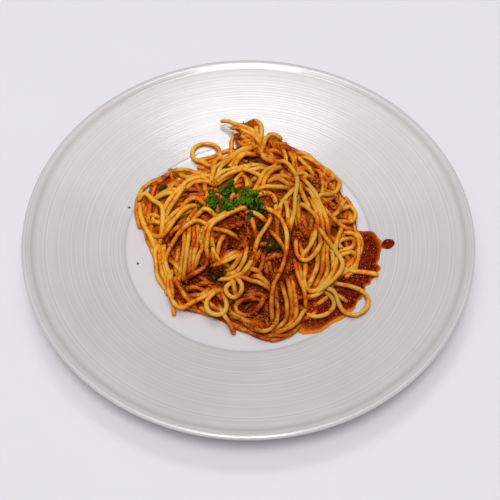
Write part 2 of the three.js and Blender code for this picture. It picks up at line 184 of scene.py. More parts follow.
# The light: a wide soft sun that comes from nearly overhead, like a bright ceiling, five soft boxes, and an
# even white room. The glaze of the far rim mirrors the bright middle and the box behind.
ROOM_COLOUR = (0.94, 0.97, 1.0, 1.0)
ROOM_STRENGTH = 0.215
CEILING_STRENGTH = 1.7
CEILING_SPREAD = math.radians(20)
CEILING_TILT = math.radians(14)
world = bpy.data.worlds.new("room")
world.use_nodes = True
background = world.node_tree.nodes["Background"].inputs
background["Color"].default_value = ROOM_COLOUR
background["Strength"].default_value = ROOM_STRENGTH
bpy.context.scene.world = world
ceiling = added("bright ceiling", bpy.data.lights.new("bright ceiling", "SUN"))
ceiling.data.energy = CEILING_STRENGTH
ceiling.data.angle = CEILING_SPREAD
ceiling.rotation_euler = (CEILING_TILT, 0, 0)
SOFT_BOXES = [
    {"name": "overhead box", "at": (-0.15, -0.35, 1.3), "size": (0.8, 0.7), "watts": 3.8},
    {"name": "bright middle", "at": (0.0, 0.28, 1.25), "size": (0.42, 0.24), "watts": 2.7},
    {"name": "box behind", "at": (0.0, 0.52, 1.3), "size": (1.1, 0.38), "watts": 1.4},
    {"name": "front left fill", "at": (-1.3, -0.7, 1.3), "size": (1.0, 1.0), "watts": 1.2},
    {"name": "front right fill", "at": (1.3, -0.7, 1.3), "size": (1.0, 1.0), "watts": 1.0},
]
for box in SOFT_BOXES:
    lamp = bpy.data.lights.new(box["name"], "AREA")
    lamp.shape = "RECTANGLE"
    lamp.size, lamp.size_y = box["size"]
    lamp.energy = box["watts"]
    lamp_object = added(box["name"], lamp)
    lamp_object.location = box["at"]
    lamp_object.rotation_euler = Vector(box["at"]).to_track_quat("Z", "Y").to_euler()

# The plate: one fired piece of white glazed porcelain, turned and pressed, with a foot ring, a flat well, a
# wide sloping rim with fine concentric ridges, and a rounded raised lip. The food lies straight on its glaze.
# Its profile, [radius, height] in mm, is spun round the middle.
PLATE_SIDES = 256
PLATE_TOP = [
    (0, 9), (58, 9.4), (78.5, 10.2), (82.3, 11.45), (83, 11.55), (83.4, 11.85), (100, 15.6),
    (124, 21.4), (141.6, 25.65), (142.9, 25.8), (144.2, 26.5), (145.6, 27.3), (147, 27.85), (148.2, 28),
]
PLATE_UNDER = [
    (149.2, 27.75), (149.8, 27.2), (150, 26.4), (149.7, 25.7), (148.8, 25.1), (143, 22.6), (118, 15.6),
    (92, 8.4), (84.5, 5.6), (82.5, 0), (79.5, 0), (77, 4.4), (0, 4.8),
]
RIDGES_FROM, RIDGES_TO = 83.5, 141.5
RIDGE_PITCH = 1.9
RIDGE_HEIGHT = 0.034
top_radii = np.array([r for r, _ in PLATE_TOP], float)
top_heights = np.array([z for _, z in PLATE_TOP], float)


def plate_top(radius):
    """The height of the plate's upper surface, in mm, without its ridges."""
    return np.interp(radius, top_radii, top_heights)


def ridge(radius):
    """How high the turned ridges stand at a radius: their height wanders, and they fade towards the lip."""
    within = np.clip((radius - RIDGES_FROM) / 2, 0, 1) * np.clip((RIDGES_TO - radius) / 4, 0, 1)
    phase = 2 * math.pi * (radius - RIDGES_FROM) / RIDGE_PITCH
    uneven = 0.65 + 0.35 * np.sin(radius * 0.9) * np.sin(radius * 0.37 + 1)
    fade = 1 - 0.45 * np.clip((radius - 112) / 25, 0, 1)
    return RIDGE_HEIGHT * within * uneven * fade * np.sin(phase + 0.8 * np.sin(radius * 0.7))


rim_radii = np.arange(RIDGES_FROM, RIDGES_TO, RIDGE_PITCH / 4)
profile = [(r, z) for r, z in PLATE_TOP if r < RIDGES_FROM]
profile += [(r, plate_top(r) + ridge(r)) for r in rim_radii]
profile += [(r, z) for r, z in PLATE_TOP if r >= RIDGES_TO]
profile += PLATE_UNDER
shape = bmesh.new()
corners = [shape.verts.new((r * MM, 0, z * MM)) for r, z in profile]
edges = [shape.edges.new(pair) for pair in zip(corners, corners[1:])]
bmesh.ops.spin(
    shape, geom=corners + edges, cent=(0, 0, 0), axis=(0, 0, 1), angle=2 * math.pi,
    steps=PLATE_SIDES, use_merge=True,
)
bmesh.ops.remove_doubles(shape, verts=shape.verts[:], dist=1e-6)
bmesh.ops.recalc_face_normals(shape, faces=shape.faces[:])
plate = added("dinner_plate", smooth_mesh("dinner_plate", shape))

glaze, sockets, shade = finish_of(
    "white porcelain glaze", IOR=1.5, Coat_Weight=0.5, Coat_Roughness=0.08, Specular_IOR_Level=0.7,
)
across = shade.make("ShaderNodeSeparateXYZ", inputs={0: shade.place()})
along = Shade(shade.tree, across.socket.node.outputs[1])
from_axis = (across * across + along * along) ** 0.5
# In metres from the axis: the rim begins at the well's edge, with a faint line there and a groove by the lip,
# both painted shade
on_rim = from_axis.clear(0.081, 0.084)
cloud = shade.noise(28.0, 3.0, 0.6)
rings = shade.make(
    "ShaderNodeTexNoise", {"noise_dimensions": "1D"}, {"W": from_axis, "Scale": 900.0, "Detail": 2.0},
)
white = cloud.blend(colour(202, 198, 201), colour(208, 204, 206))
mottled = 0.7 * rings.clear(0.3, 0.75) + 0.6 * cloud - 0.15
# The rim's glaze is coloured darker than the well's, painted shade, and mottled along its rings and in clouds
shaded_rim_white = mottled.blend(colour(183, 178, 178), colour(200, 197, 198))
# Painted shade: the groove by the lip and the step at the well's edge are coloured darker, as shadowed lines
groove = from_axis.clear(0.1410, 0.1420) - from_axis.clear(0.1434, 0.1448)
foot_line = from_axis.clear(0.0814, 0.0824) - from_axis.clear(0.0834, 0.0844)
shaded_rim_white = (groove + foot_line).blend(shaded_rim_white, colour(180, 176, 176))
dress(
    sockets, Base_Color=on_rim.blend(white, shaded_rim_white), Roughness=0.16 + 0.1 * (on_rim * rings),
    Normal=shade.bump(rings * on_rim, 0.00012, 0.6),
)
plate.data.materials.append(glaze)
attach(plate, "root")
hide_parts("plate")

# The heap's shape: a low uneven dome of tangled noodles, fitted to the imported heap. All is worked out in mm
# on a square map seen from above, with a height in each cell. The outline is [azimuth, radius].
HEAP_MIDDLE = (0, 5)
HEAP_OUTLINE = [
    (0, 76), (34, 75), (60, 76), (88, 82), (108, 68), (128, 68), (146, 79), (165, 78), (180, 71), (192, 64),
    (206, 66), (227, 72), (245, 67), (262, 70), (282, 82), (300, 76), (321, 69), (345, 75), (360, 76),
]
HEAP_HEIGHT = 37.0
HEAP_FULLNESS = 0.72
CELL = 0.5
MAP_LOW = -120.0
MAP_CELLS = 480
outline_azimuths = np.array([a for a, _ in HEAP_OUTLINE], float)
outline_radii = np.array([r for _, r in HEAP_OUTLINE], float)


def heap_radius(azimuth):
    """The heap's outline round its middle at an azimuth in degrees, smooth between the named ones."""
    azimuth = np.mod(azimuth, 360)
    last = len(outline_azimuths) - 2
    at = np.clip(np.searchsorted(outline_azimuths, azimuth, side="right") - 1, 0, last)
    part = (azimuth - outline_azimuths[at]) / (outline_azimuths[at + 1] - outline_azimuths[at])
    part = part * part * (3 - 2 * part)
    return outline_radii[at] + (outline_radii[at + 1] - outline_radii[at]) * part


def heap_share(x, y):
    """The share of the way out from the heap's middle to its outline."""
    x, y = x - HEAP_MIDDLE[0], y - HEAP_MIDDLE[1]
    return np.hypot(x, y) / heap_radius(np.degrees(np.arctan2(y, x)))


def heap_top(x, y):
    """The height of the tops of the noodles over the table."""
    share = np.minimum(heap_share(x, y), 1)
    return plate_top(np.hypot(x, y)) + HEAP_HEIGHT * (1 - share**2) ** HEAP_FULLNESS


def cells(places):
    """The map's cells that hold some places [x, y]."""
    return tuple(np.clip(((places - MAP_LOW) / CELL).astype(int), 0, MAP_CELLS - 1).T)


def value_at(field, x, y):
    """A map's value at one place."""
    return float(field[cells(np.array([[x, y]]))][0])


def blurred(field, reach):
    """A map averaged over squares of twice the reach, in cells."""
    for axis in (0, 1):
        padded = np.pad(field, [(reach + 1, reach) if axis == a else (0, 0) for a in (0, 1)], mode="edge")
        sums = np.cumsum(padded, axis=axis)
        high = np.take(sums, range(2 * reach + 1, sums.shape[axis]), axis=axis)
        low = np.take(sums, range(0, sums.shape[axis] - 2 * reach - 1), axis=axis)
        field = (high - low) / (2 * reach + 1)
    return field


def spread(field, reach, pick):
    """A map whose cells hold the highest or lowest, as pick says, of themselves and eight round them."""
    slant = round(0.7 * reach)
    shifts = [(reach, 0), (0, reach), (slant, slant), (slant, -slant)]
    found = field
    for down, right in shifts:
        found = pick(found, np.roll(field, (down, right), (0, 1)))
        found = pick(found, np.roll(field, (-down, -right), (0, 1)))
    return found


lines = MAP_LOW + CELL * (np.arange(MAP_CELLS) + 0.5)
MAP_X, MAP_Y = np.meshgrid(lines, lines, indexing="ij")
PLATE_MAP = plate_top(np.hypot(MAP_X, MAP_Y))
SHARE_MAP = heap_share(MAP_X, MAP_Y)
TOP_MAP = heap_top(MAP_X, MAP_Y)

# Spaghetti: boiled wheat noodles about 3 mm thick, slippery with sauce, that fell into the heap in bends,
# loops and bundles. Each is laid along its route seen from above and rests on those laid before it.
NOODLE_RADIUS = 1.6
CLEARANCE = 0.35
BASE_COAT = 0.2
NOODLE_PRESS = 2.85
NOODLE_BEND = 8.0
NOODLE_SAG = 0.2
OWN_STEPS = 7
STEP = 0.8
UNDER_DEPTH = 6.3
# Noodles, the lowest first: a route [x, y] and how pale they are, from 0 coated with sauce to 1 bare. Where
# several run side by side, how many and the gap between their middle lines follow.
UNDER_ROUTES = [
    ([(62, 44), (52, 60), (36, 72), (22, 82), (10, 90)], 0.4, 2, 3.3),
    ([(-40, 62), (-22, 71), (0, 75), (24, 69), (44, 57)], 0.5, 3, 3.4),
    ([(-34, 52), (-14, 62), (10, 66), (34, 58)], 0.45, 4, 3.6),
    ([(-71, 20), (-67, 6), (-61, -8), (-59, -20), (-55, -32), (-49, -44)], 0.45, 2, 3.1),
    ([(-16, -59), (-10, -64), (0, -68), (10, -70), (17, -67)], 0.4),
    ([(67, 38), (71, 29), (72, 22), (71, 12)], 0.5),
    ([(70, 10), (73, 2), (73, -10), (70, -20), (62, -27)], 0.45, 2, 3.2),
    ([(66, 34), (67, 24), (63, 14), (56, 8)], 0.5, 3, 3.5),
    ([(-64, 47), (-58, 36), (-50, 30), (-40, 30)], 0.35, 3, 3.4),
    ([(-28, 62), (-28, 48), (-30, 38), (-38, 33), (-50, 32), (-66, 33)], 0.4, 3, 3.3),
    ([(-46, 27), (-55, 19), (-66, 14)], 0.4, 3, 3.4),
    ([(-30, 22), (-40, 16), (-50, 12), (-60, 12)], 0.35, 3, 3.5),
    ([(-46, -37), (-38, -41), (-30, -42), (-22, -41)], 0.2, 3, 3.1),
    ([(26, -40), (28, -52), (26, -61), (21, -67), (12, -70)], 0.35, 4, 3.2),
    ([(46, 20), (38, 10), (34, -4), (33, -18), (36, -32)], 0.4, 3, 3.4),
    ([(20, 44), (26, 30), (22, 12), (24, -6)], 0.4, 4, 3.5),
    ([(4, 50), (-8, 40), (-22, 34), (-34, 22)], 0.4, 4, 3.5),
    ([(-18, -60), (-6, -50), (6, -52), (16, -60)], 0.3, 3, 3.4),
    ([(12, -30), (2, -38), (-12, -42), (-26, -38)], 0.3, 3, 3.4),
    ([(48, -40), (54, -30), (60, -16), (58, 0)], 0.4, 3, 3.3),
    ([(-72, 40), (-74, 30), (-73, 20), (-70, 12)], 0.35, 2, 3.0),
    ([(-60, 50), (-51, 54), (-42, 54), (-34, 50)], 0.4, 2, 3.0),
]
ROUTES = [
    # the thin tongue at the back and the ring beside it
    ([(11, 69), (3, 74), (-4, 80), (-9, 86)], 0.5, 2, 3.0),
    ([(-12, 73), (-12, 79), (-12, 85), (-9, 91)], 0.75),
    ([(-10, 76), (-5, 79), (1, 79), (8, 79)], 0.5, 2, 3.0),
    ([(-9, 89), (-6, 86), (-2, 83), (2, 78)], 0.45, 2, 2.9),
    ([(-5, 97), (-3, 94), (1, 91), (6, 88)], 0.2, 2, 2.9),
    ([(2, 97), (5, 94), (6, 89), (6, 83)], 0.4),
    ([(8, 91), (12, 88), (16, 85), (20, 80), (25, 76)], 0.5, 3, 3.0),
    ([(-2, 97), (3, 98.5), (7, 97), (9, 93), (9, 86), (8, 78)], 0.75),
    ([(-13, 92.5), (-8, 89), (-2, 86), (4, 83), (9, 78)], 0.7),
    ([(-20, 97.5), (-15, 95), (-10, 92), (-3, 89.5), (4, 86), (10, 81)], 0.9),
    (
        [(-24, 60), (-32, 65), (-38, 69), (-40, 75), (-37, 80), (-30, 82), (-23, 80), (-20, 75),
         (-21, 68)], 0.8,
    ),
    ([(-37, 70), (-33, 67), (-28, 67)], 0.8),
    ([(-15, 70), (-20, 70), (-23, 66), (-24, 60), (-24, 52), (-23, 45), (-22, 38)], 0.8),
    # the left fan, upper part
    ([(-64, 52), (-72, 45), (-76, 36), (-77, 29), (-76, 20), (-74, 11)], 0.4),
    ([(-68, 48), (-60, 53), (-50, 57), (-41, 57), (-32, 53)], 0.45, 2, 3.0),
    ([(-55, 60), (-55, 56), (-53, 51), (-52, 46)], 0.6),
    ([(-64, 50), (-65, 43), (-67, 36), (-69, 30)], 0.5),
    ([(-47, 56), (-43, 50), (-37, 46), (-30, 44), (-23, 45)], 0.65, 2, 3.2),
    ([(-72, 20), (-66, 19), (-61, 15), (-57, 10)], 0.5),
    ([(-70, 14), (-64, 12), (-58, 9)], 0.5),
    ([(-69, 12), (-66, 5), (-63, 0), (-60, -5)], 0.5),
    ([(-75, 33), (-74, 24), (-72, 14), (-69, 7), (-65, 0), (-62, -7)], 0.8),
    ([(-51, 30), (-45, 33), (-38, 38), (-31, 38), (-24, 36)], 0.75, 2, 3.1),
    ([(-43, 26), (-37, 23), (-30, 22), (-23, 24)], 0.2, 2, 3.2),
    ([(-46, 13), (-41, 18), (-36, 19), (-31, 17)], 0.55),
    ([(-42, 11), (-35, 13), (-28, 13)], 0.55),
    ([(-57, 3), (-50, 7), (-45, 10)], 0.45),
    ([(-58, 7), (-51, 10), (-46, 12), (-42, 14)], 0.75),
    ([(-73, 33), (-64, 32), (-56, 32), (-50, 31), (-45, 28)], 0.8, 2, 3.0),
    ([(-57, 17), (-53, 23), (-49, 28), (-44, 33)], 0.75),
    ([(-55, 13), (-51, 19), (-47, 25), (-44, 31)], 0.7),
    ([(-76, 31), (-71, 35), (-67, 31), (-62, 25), (-58, 18), (-57, 10), (-58, 2), (-60, -5)], 0.85),
    ([(-29, 33), (-29, 26), (-27, 19), (-26, 12)], 0.8),
    ([(-66, 4), (-62, 0), (-58, -1), (-54, 1), (-48, 7), (-41, 12), (-33, 14)], 0.6),
    ([(-54, -4), (-47, -1), (-41, 3), (-36, 7), (-29, 11)], 0.45, 2, 3.1),
    # the left fan, lower part
    ([(-59, -4), (-62, -12), (-61, -20), (-60, -27), (-57, -33), (-52, -39)], 0.8),
    ([(-58, -5), (-59, -13), (-58, -21), (-57, -27), (-54, -34), (-51, -40)], 0.4),
    ([(-56, -5), (-56, -13), (-56, -20), (-54, -28), (-52, -35)], 0.5),
    ([(-46, -10), (-47, -18), (-48, -24), (-46, -31)], 0.4),
    ([(-51, -19), (-47, -24), (-45, -29)], 0.6),
    ([(-42, -3), (-42, -12), (-43, -20), (-44, -26), (-45, -31)], 0.75),
    ([(-39, -1), (-39, -10), (-40, -18), (-41, -26), (-42, -32)], 0.85),
    ([(-36, -2), (-36, -12), (-37, -20), (-38, -27), (-39, -33)], 0.3),
    ([(-33, -2), (-33, -10), (-34, -17), (-35, -24), (-36, -30)], 0.75),
    ([(-30, -2), (-31, -10), (-30, -17), (-32, -23), (-34, -28)], 0.6),
    ([(-28, -7), (-28, -14), (-27, -20), (-26, -25), (-28, -30), (-33, -34), (-39, -35)], 0.5),
    # the corner ring and the loops round it
    ([(-41, -40), (-36, -41), (-30, -42)], 0.6),
    ([(-31, -40), (-26, -40), (-20, -39)], 0.5),
    ([(-49, -44), (-49, -50), (-48, -57)], 0.6),
    ([(-39, -43), (-34, -46), (-30, -46), (-26, -43)], 0.85),
    ([(-49, -30), (-47, -37), (-43, -43), (-39, -48), (-33, -52)], 0.45),
    ([(-32, -51), (-27, -56), (-21, -58), (-15, -56)], 0.45),
    (
        [(-50, -25), (-52, -33), (-52, -41), (-49, -49), (-43, -54), (-36, -51), (-29, -48), (-24, -45),
         (-18, -43)], 0.85,
    ),
    ([(-50, -27), (-51, -34), (-50, -40), (-49, -46)], 0.85),
    (
        [(-25, -3), (-30, 0), (-35, 1), (-41, -1), (-46, -4), (-51, -9), (-54, -16), (-54, -23),
         (-52, -30)], 0.9,
    ),
    # the front
    ([(34, -63), (30, -68), (24, -72), (16, -73), (9, -72)], 0.35),
    ([(-12, -58), (-6, -61), (-1, -65), (4, -68)], 0.45),
    ([(-13, -55), (-8, -59), (-3, -63), (3, -66), (10, -68)], 0.75),
    ([(5, -62), (8, -64), (11, -65)], 0.8),
    ([(12, -51), (12, -57), (12, -62)], 0.7),
    ([(-8, -50), (-2, -51), (5, -52), (11, -53)], 0.25),
    ([(-4, -40), (-2, -45), (2, -47), (7, -48)], 0.55),
    ([(-6, -47), (0, -49), (5, -50), (10, -50)], 0.8),
    ([(10, -52), (8, -57), (3, -60), (-3, -60), (-8, -57), (-8, -53), (-4, -51), (2, -51)], 0.65),
    ([(25, -36), (27, -46), (28, -56), (26, -65)], 0.4),
    ([(28, -38), (30, -48), (31, -56), (30, -62), (26, -67), (20, -70)], 0.55),
    ([(21, -40), (24, -50), (25, -57), (24, -63), (20, -68), (14, -71)], 0.7),
    ([(38, -52), (35, -58), (32, -64), (28, -68), (22, -71), (16, -72)], 0.8),
    ([(0, -67), (5, -70), (10, -72), (15, -70), (18, -65), (19, -58), (18, -50), (18, -42)], 0.8),
    # the swirl in the middle
    ([(9, -23), (10, -28), (9, -33), (6, -37), (1, -39)], 0.55),
    ([(13, -28), (14, -34), (15, -41)], 0.6),
    ([(11, -33), (12, -38), (13, -43)], 0.4),
    ([(-22, -25), (-23, -19), (-24, -14), (-24, -9)], 0.85),
    ([(-21, -27), (-20, -22), (-18, -16), (-16, -11)], 0.65),
    ([(-17, -25), (-13, -22), (-8, -20)], 0.45),
    ([(-21, -24), (-19, -28), (-15, -29)], 0.8),
    ([(-3, -38), (0, -36), (3, -33), (5, -30)], 0.35),
    ([(-17, -29), (-13, -26), (-8, -23), (-4, -21)], 0.75),
    ([(-21, -31), (-16, -30), (-11, -28), (-6, -26), (-3, -22)], 0.75),
    ([(-17, -34), (-12, -33), (-8, -31), (-5, -28), (-3, -24)], 0.65),
    ([(1, -34), (4, -31), (6, -27), (7, -23)], 0.7),
    ([(-15, -36), (-9, -35), (-5, -32), (-2, -28), (-1, -22)], 0.85),
    ([(-19, -38), (-13, -39), (-8, -38), (-3, -36), (1, -32), (3, -27)], 0.85),
    ([(4, -36), (7, -38), (9, -41)], 0.75),
    ([(-16, 0), (-15, -3), (-13, -6)], 0.7),
    ([(2, -1), (3, -6), (5, -12)], 0.75),
    ([(9, -19), (14, -20), (20, -18)], 0.55),
    ([(14, -28), (19, -26), (23, -25)], 0.4),
    ([(14, -7), (17, -12), (20, -15), (23, -20)], 0.7),
    ([(1, 3), (7, 0), (12, -3)], 0.8),
    ([(-22, -6), (-19, -8), (-15, -10), (-10, -12)], 0.85),
    ([(14, 4), (14, -3), (11, -9), (8, -14), (5, -21), (4, -25)], 0.85),
    ([(-30, 9), (-24, 6), (-20, 3)], 0.65),
    ([(-29, -9), (-27, -5), (-23, -1), (-18, 3), (-14, 7)], 0.8),
    ([(-4, 9), (-10, 5), (-17, 0), (-23, -4), (-26, -9), (-27, -16)], 0.95),
    # behind and beside the parsley
    ([(-23, 40), (-20, 52), (-14, 62), (-6, 68), (2, 73), (8, 80)], 0.8, 2, 3.1),
    ([(-14, 46), (-10, 55), (-4, 62), (4, 66)], 0.6, 2, 3.3),
    ([(-22, 35), (-16, 41), (-9, 45), (-2, 47), (6, 49), (13, 51)], 0.8, 2, 3.1),
    ([(-9, 34), (-4, 41), (0, 47)], 0.6),
    ([(-4, 37), (-1, 31), (0, 25)], 0.7),
    ([(-18, 37), (-12, 40), (-6, 42), (-1, 41), (5, 38), (11, 35), (16, 31)], 0.8),
    ([(6, 24), (9, 32), (14, 41), (19, 49), (21, 56)], 0.65, 2, 3.1),
    ([(9, 25), (15, 26), (21, 28), (25, 30)], 0.9),
    ([(16, 33), (20, 34), (25, 33)], 0.7),
    ([(7, 19), (12, 20), (16, 19), (18, 14), (18, 8), (19, 1)], 0.9),
    ([(24, 83), (17, 84), (12, 80), (10, 72), (9, 64), (11, 56), (17, 53), (22, 57)], 0.8),
    ([(20, 78), (24, 72), (26, 65), (26, 58)], 0.75),
    ([(26, 76), (30, 70), (32, 62), (33, 52)], 0.4, 2, 3.2),
    ([(33, 74), (39, 72), (46, 68), (52, 62), (57, 58), (61, 54)], 0.6),
    ([(35, 70), (41, 68), (47, 64), (53, 59), (58, 55)], 0.5),
    ([(35, 71), (38, 64), (42, 57), (46, 52)], 0.8),
    # the right side
    ([(60, 54), (63, 45), (61, 38), (56, 34)], 0.5),
    ([(52, 36), (54, 44), (57, 50), (61, 53)], 0.55),
    ([(45, 61), (50, 55), (51, 47), (51, 40), (50, 32)], 0.65),
    ([(30, 47), (36, 48), (40, 45), (36, 42), (31, 42)], 0.7),
    ([(61, 20), (66, 24), (70, 26), (73, 22), (72, 16), (68, 12), (62, 11)], 0.65),
    ([(53, 8), (58, 13), (62, 20), (64, 27), (66, 34)], 0.7),
    ([(50, 18), (53, 12), (58, 8), (64, 6), (71, 9)], 0.7),
    ([(64, 3), (71, 3), (74, -1), (74, -8), (73, -14), (70, -20), (65, -24), (59, -27)], 0.6),
    ([(60, -14), (66, -12), (70, -10), (72, -14)], 0.55),
    ([(60, -6), (65, -3), (70, -1), (71, -5), (68, -9), (61, -11)], 0.75),
    ([(62, 4), (60, -3), (58, -9), (58, -15)], 0.55),
    ([(46, 26), (52, 29), (57, 32), (62, 36)], 0.85),
    ([(34, 35), (36, 27), (39, 20), (41, 13)], 0.6),
    ([(34, 20), (33, 12), (33, 4), (35, -4)], 0.6),
    ([(42, 22), (45, 13), (46, 4), (47, -6), (48, -15)], 0.25),
    ([(40, 31), (44, 22), (47, 14), (49, 5), (50, -3), (52, -12)], 0.6),
    ([(35, 42), (40, 35), (44, 29), (47, 21), (50, 12), (52, 4), (54, -6)], 0.75),
    ([(34, 16), (39, 12), (44, 8)], 0.85),
    ([(31, 29), (28, 22), (24, 16), (21, 10), (20, 2)], 0.8),
    ([(24, 14), (26, 6), (26, -2)], 0.6),
    ([(24, 58), (28, 52), (31, 46), (33, 36), (32, 26), (31, 16), (30, 6), (28, -4)], 0.85),
    # the hairpins at the right
    ([(50, -12), (49, -20), (48, -28), (45, -35), (41, -41)], 0.35),
    ([(52, -12), (52, -20), (52, -27), (49, -33), (44, -39)], 0.6),
    ([(55, -14), (56, -22), (55, -29), (50, -35), (43, -41)], 0.65),
    ([(38, -48), (43, -47), (48, -43), (54, -37)], 0.45, 2, 3.0),
    ([(33, -26), (34, -34), (36, -41)], 0.5),
    ([(45, -19), (45, -26), (43, -32), (40, -38)], 0.75),
    (
        [(37, -26), (37, -32), (36, -38), (38, -43), (43, -43), (48, -39), (53, -33), (57, -26),
         (58, -18)], 0.7,
    ),
    ([(30, -24), (31, -31), (33, -38), (36, -45), (37, -54)], 0.7),
    ([(34, -15), (35, -20), (38, -22)], 0.6),
    ([(31, -13), (31, -20), (33, -24), (37, -26), (41, -23), (45, -18), (48, -11)], 0.9),
    ([(44, -2), (43, -10), (40, -17), (36, -22)], 0.75),
    ([(46, -2), (51, -8), (56, -13), (60, -18), (62, -23), (60, -29), (55, -35), (48, -41), (41, -45)], 0.95),
    # the small rings in front, and the long noodle over everything
    ([(-6, -38), (0, -41), (6, -44), (12, -46), (17, -49)], 0.8),
    ([(5, -40), (10, -43), (14, -46)], 0.8),
    ([(-19, -50), (-17, -56), (-14, -62), (-11, -67), (-9, -71)], 0.75),
    ([(-15, -44), (-22, -46), (-27, -51), (-26, -57), (-21, -60), (-16, -59), (-14, -53), (-16, -47)], 0.9),
    ([(-10, -41), (-9, -45), (-8, -48)], 0.8),
    ([(-11, -42), (-15, -45), (-13, -49), (-9, -50.5), (-5, -48.5), (-4, -45), (-6, -41)], 1.0),
    (
        [(6, 9), (13, 6), (19, 2), (23, -5), (25, -12), (25, -19), (24, -26), (21, -35), (17, -43),
         (15, -51), (15, -59), (16, -68)], 0.95,
    ),
]
# Noodles that came away from the heap: a flat loop on the plate and three that lie in the puddle
PLATE_ROUTES = [
    ([(46, -36), (54, -42), (56, -49), (51, -56), (43, -58), (35, -54)], 0.85),
    ([(59, -20), (70, -23.5), (78, -26), (86, -29)], 0.8),
    ([(55, -41), (60, -44), (65, -48)], 0.8),
    (
        [(50, -30), (60, -33.5), (68, -36), (75, -41), (78, -48), (75.5, -55), (69, -59), (62, -56),
         (58.5, -49), (56, -42), (48, -37)], 0.9,
    ),
]
# Where sauce coats the noodles: middle [x, y], radius and how much
SAUCED = [
    (-36, 24, 11, 0.7), (-50, -2, 9, 0.7), (-36, -16, 7, 0.45), (-27, -24, 8, 0.35), (-38, -43, 10, 0.8),
    (-58, -18, 8, 0.4), (-68, 42, 9, 0.4), (-56, 53, 8, 0.6), (-22, 62, 10, 0.5), (8, 64, 14, 0.5),
    (27, 78, 11, 0.9), (1, 95, 7, 0.8), (-6, 84, 8, 0.55), (-4, -18, 10, 0.8), (-9, -6, 10, 0.8),
    (26, -24, 9, 0.7), (16, -34, 9, 0.7), (46, 0, 8, 0.8), (36, -8, 9, 0.9),
    (44, 44, 9, 0.6), (57, 22, 8, 0.6), (24, 40, 9, 0.5), (50, -24, 8, 0.4), (10, -66, 10, 0.9),
    (0, -54, 10, 0.6), (30, -52, 10, 0.4), (64, -38, 12, 0.25), (12, 16, 8, 0.6), (-4, 36, 9, 0.4),
    (68, -6, 8, 0.3), (-66, 22, 8, 0.3), (-8, -64, 8, 0.5), (-4, -28, 34, 0.3), (14, -62, 24, 0.5),
]
# Where the sauce between the noodles, the noodles deep in the heap and their sides are coloured lighter:
# middle [x, y], radius and how much lighter
LIGHTER_PLACES = [
    (0, 46, 40, 1), (-54, 20, 26, 1), (54, -20, 14, 1), (-36, 52, 16, 1), (-9, -31, 10, 0.7),
    (-26, -19, 9, 0.8), (36, 12, 22, 0.8), (58, 22, 16, 0.8),
]
# Where the hollows between the noodles are painted dark, on the noodles deep in them and on the sauce, and
# kept free of crumbs and open sauce: middle [x, y], radius and how dark
HOLLOWS = [
    (1, 6, 4, 1), (10, 3, 4, 1), (-8, -8, 3, 1), (-12, -15, 3, 1), (9, -8, 3, 0.5), (13, -14, 3, 0.4),
    (10, -36, 3, 0.8), (-2, -46, 4, 0.7), (16, -24, 4, 0.4),
]
# Where shade is painted on the noodles, their red and green darkened: middle [x, y], radius and how much
PAINTED_SHADE = [
    (0, -20, 30, 0.4), (8, -62, 34, 0.85), (48, -14, 26, 0.5), (40, 30, 26, 0.5), (-39, -25, 14, 0.7),
    (60, -47, 19, 0.85), (32, 12, 18, 0.45),
]


def smooth_route(points):
    """A route's points joined by one smooth curve, at even steps."""
    points = np.array(points, float)
    points = np.vstack([2 * points[0] - points[1], points, 2 * points[-1] - points[-2]])
    knots = np.concatenate([[0], np.cumsum(np.sqrt(np.hypot(*np.diff(points, axis=0).T)))])
    curve = []
    for i in range(1, len(points) - 2):
        t = np.linspace(knots[i], knots[i + 1], 24, endpoint=False)[:, None]
        p, k = points[i - 1:i + 3], knots[i - 1:i + 3]
        first = [((k[j + 1] - t) * p[j] + (t - k[j]) * p[j + 1]) / (k[j + 1] - k[j]) for j in range(3)]
        second = [
            ((k[j + 2] - t) * first[j] + (t - k[j]) * first[j + 1]) / (k[j + 2] - k[j]) for j in range(2)
        ]
        curve.append(((k[2] - t) * second[0] + (t - k[1]) * second[1]) / (k[2] - k[1]))
    return at_steps(np.vstack([*curve, points[-2]]), STEP)


def at_steps(curve, step):
    """A curve's points at even steps along it."""
    length = np.concatenate([[0], np.cumsum(np.linalg.norm(np.diff(curve, axis=0), axis=1))])
    marks = np.linspace(0, length[-1], max(3, round(length[-1] / step) + 1))
    return np.stack([np.interp(marks, length, part) for part in curve.T], axis=1)


def averaged(values, reach):
    """Values along a noodle averaged over their neighbours, the ends kept."""
    reach = min(reach, (len(values) - 1) // 2)
    if reach < 1:
        return values
    padded = np.concatenate([np.repeat(values[:1], reach, 0), values, np.repeat(values[-1:], reach, 0)])
    sums = np.cumsum(np.concatenate([padded[:1] * 0, padded]), axis=0)
    return (sums[2 * reach + 1:] - sums[:-2 * reach - 1]) / (2 * reach + 1)


TUCK = 4.0
TUCK_SHARE = 0.86


def tucked(noodle):
    """A noodle made longer at each end that lies well inside the heap, to go under its neighbours."""
    for _ in range(2):
        noodle = noodle[::-1]
        if heap_share(*noodle[0]) < TUCK_SHARE:
            ahead = noodle[0] - noodle[3]
            ahead /= np.linalg.norm(ahead)
            more = np.arange(TUCK, 0, -STEP)[:, None] * ahead
            noodle = np.vstack([noodle[0] + more, noodle])
    return noodle


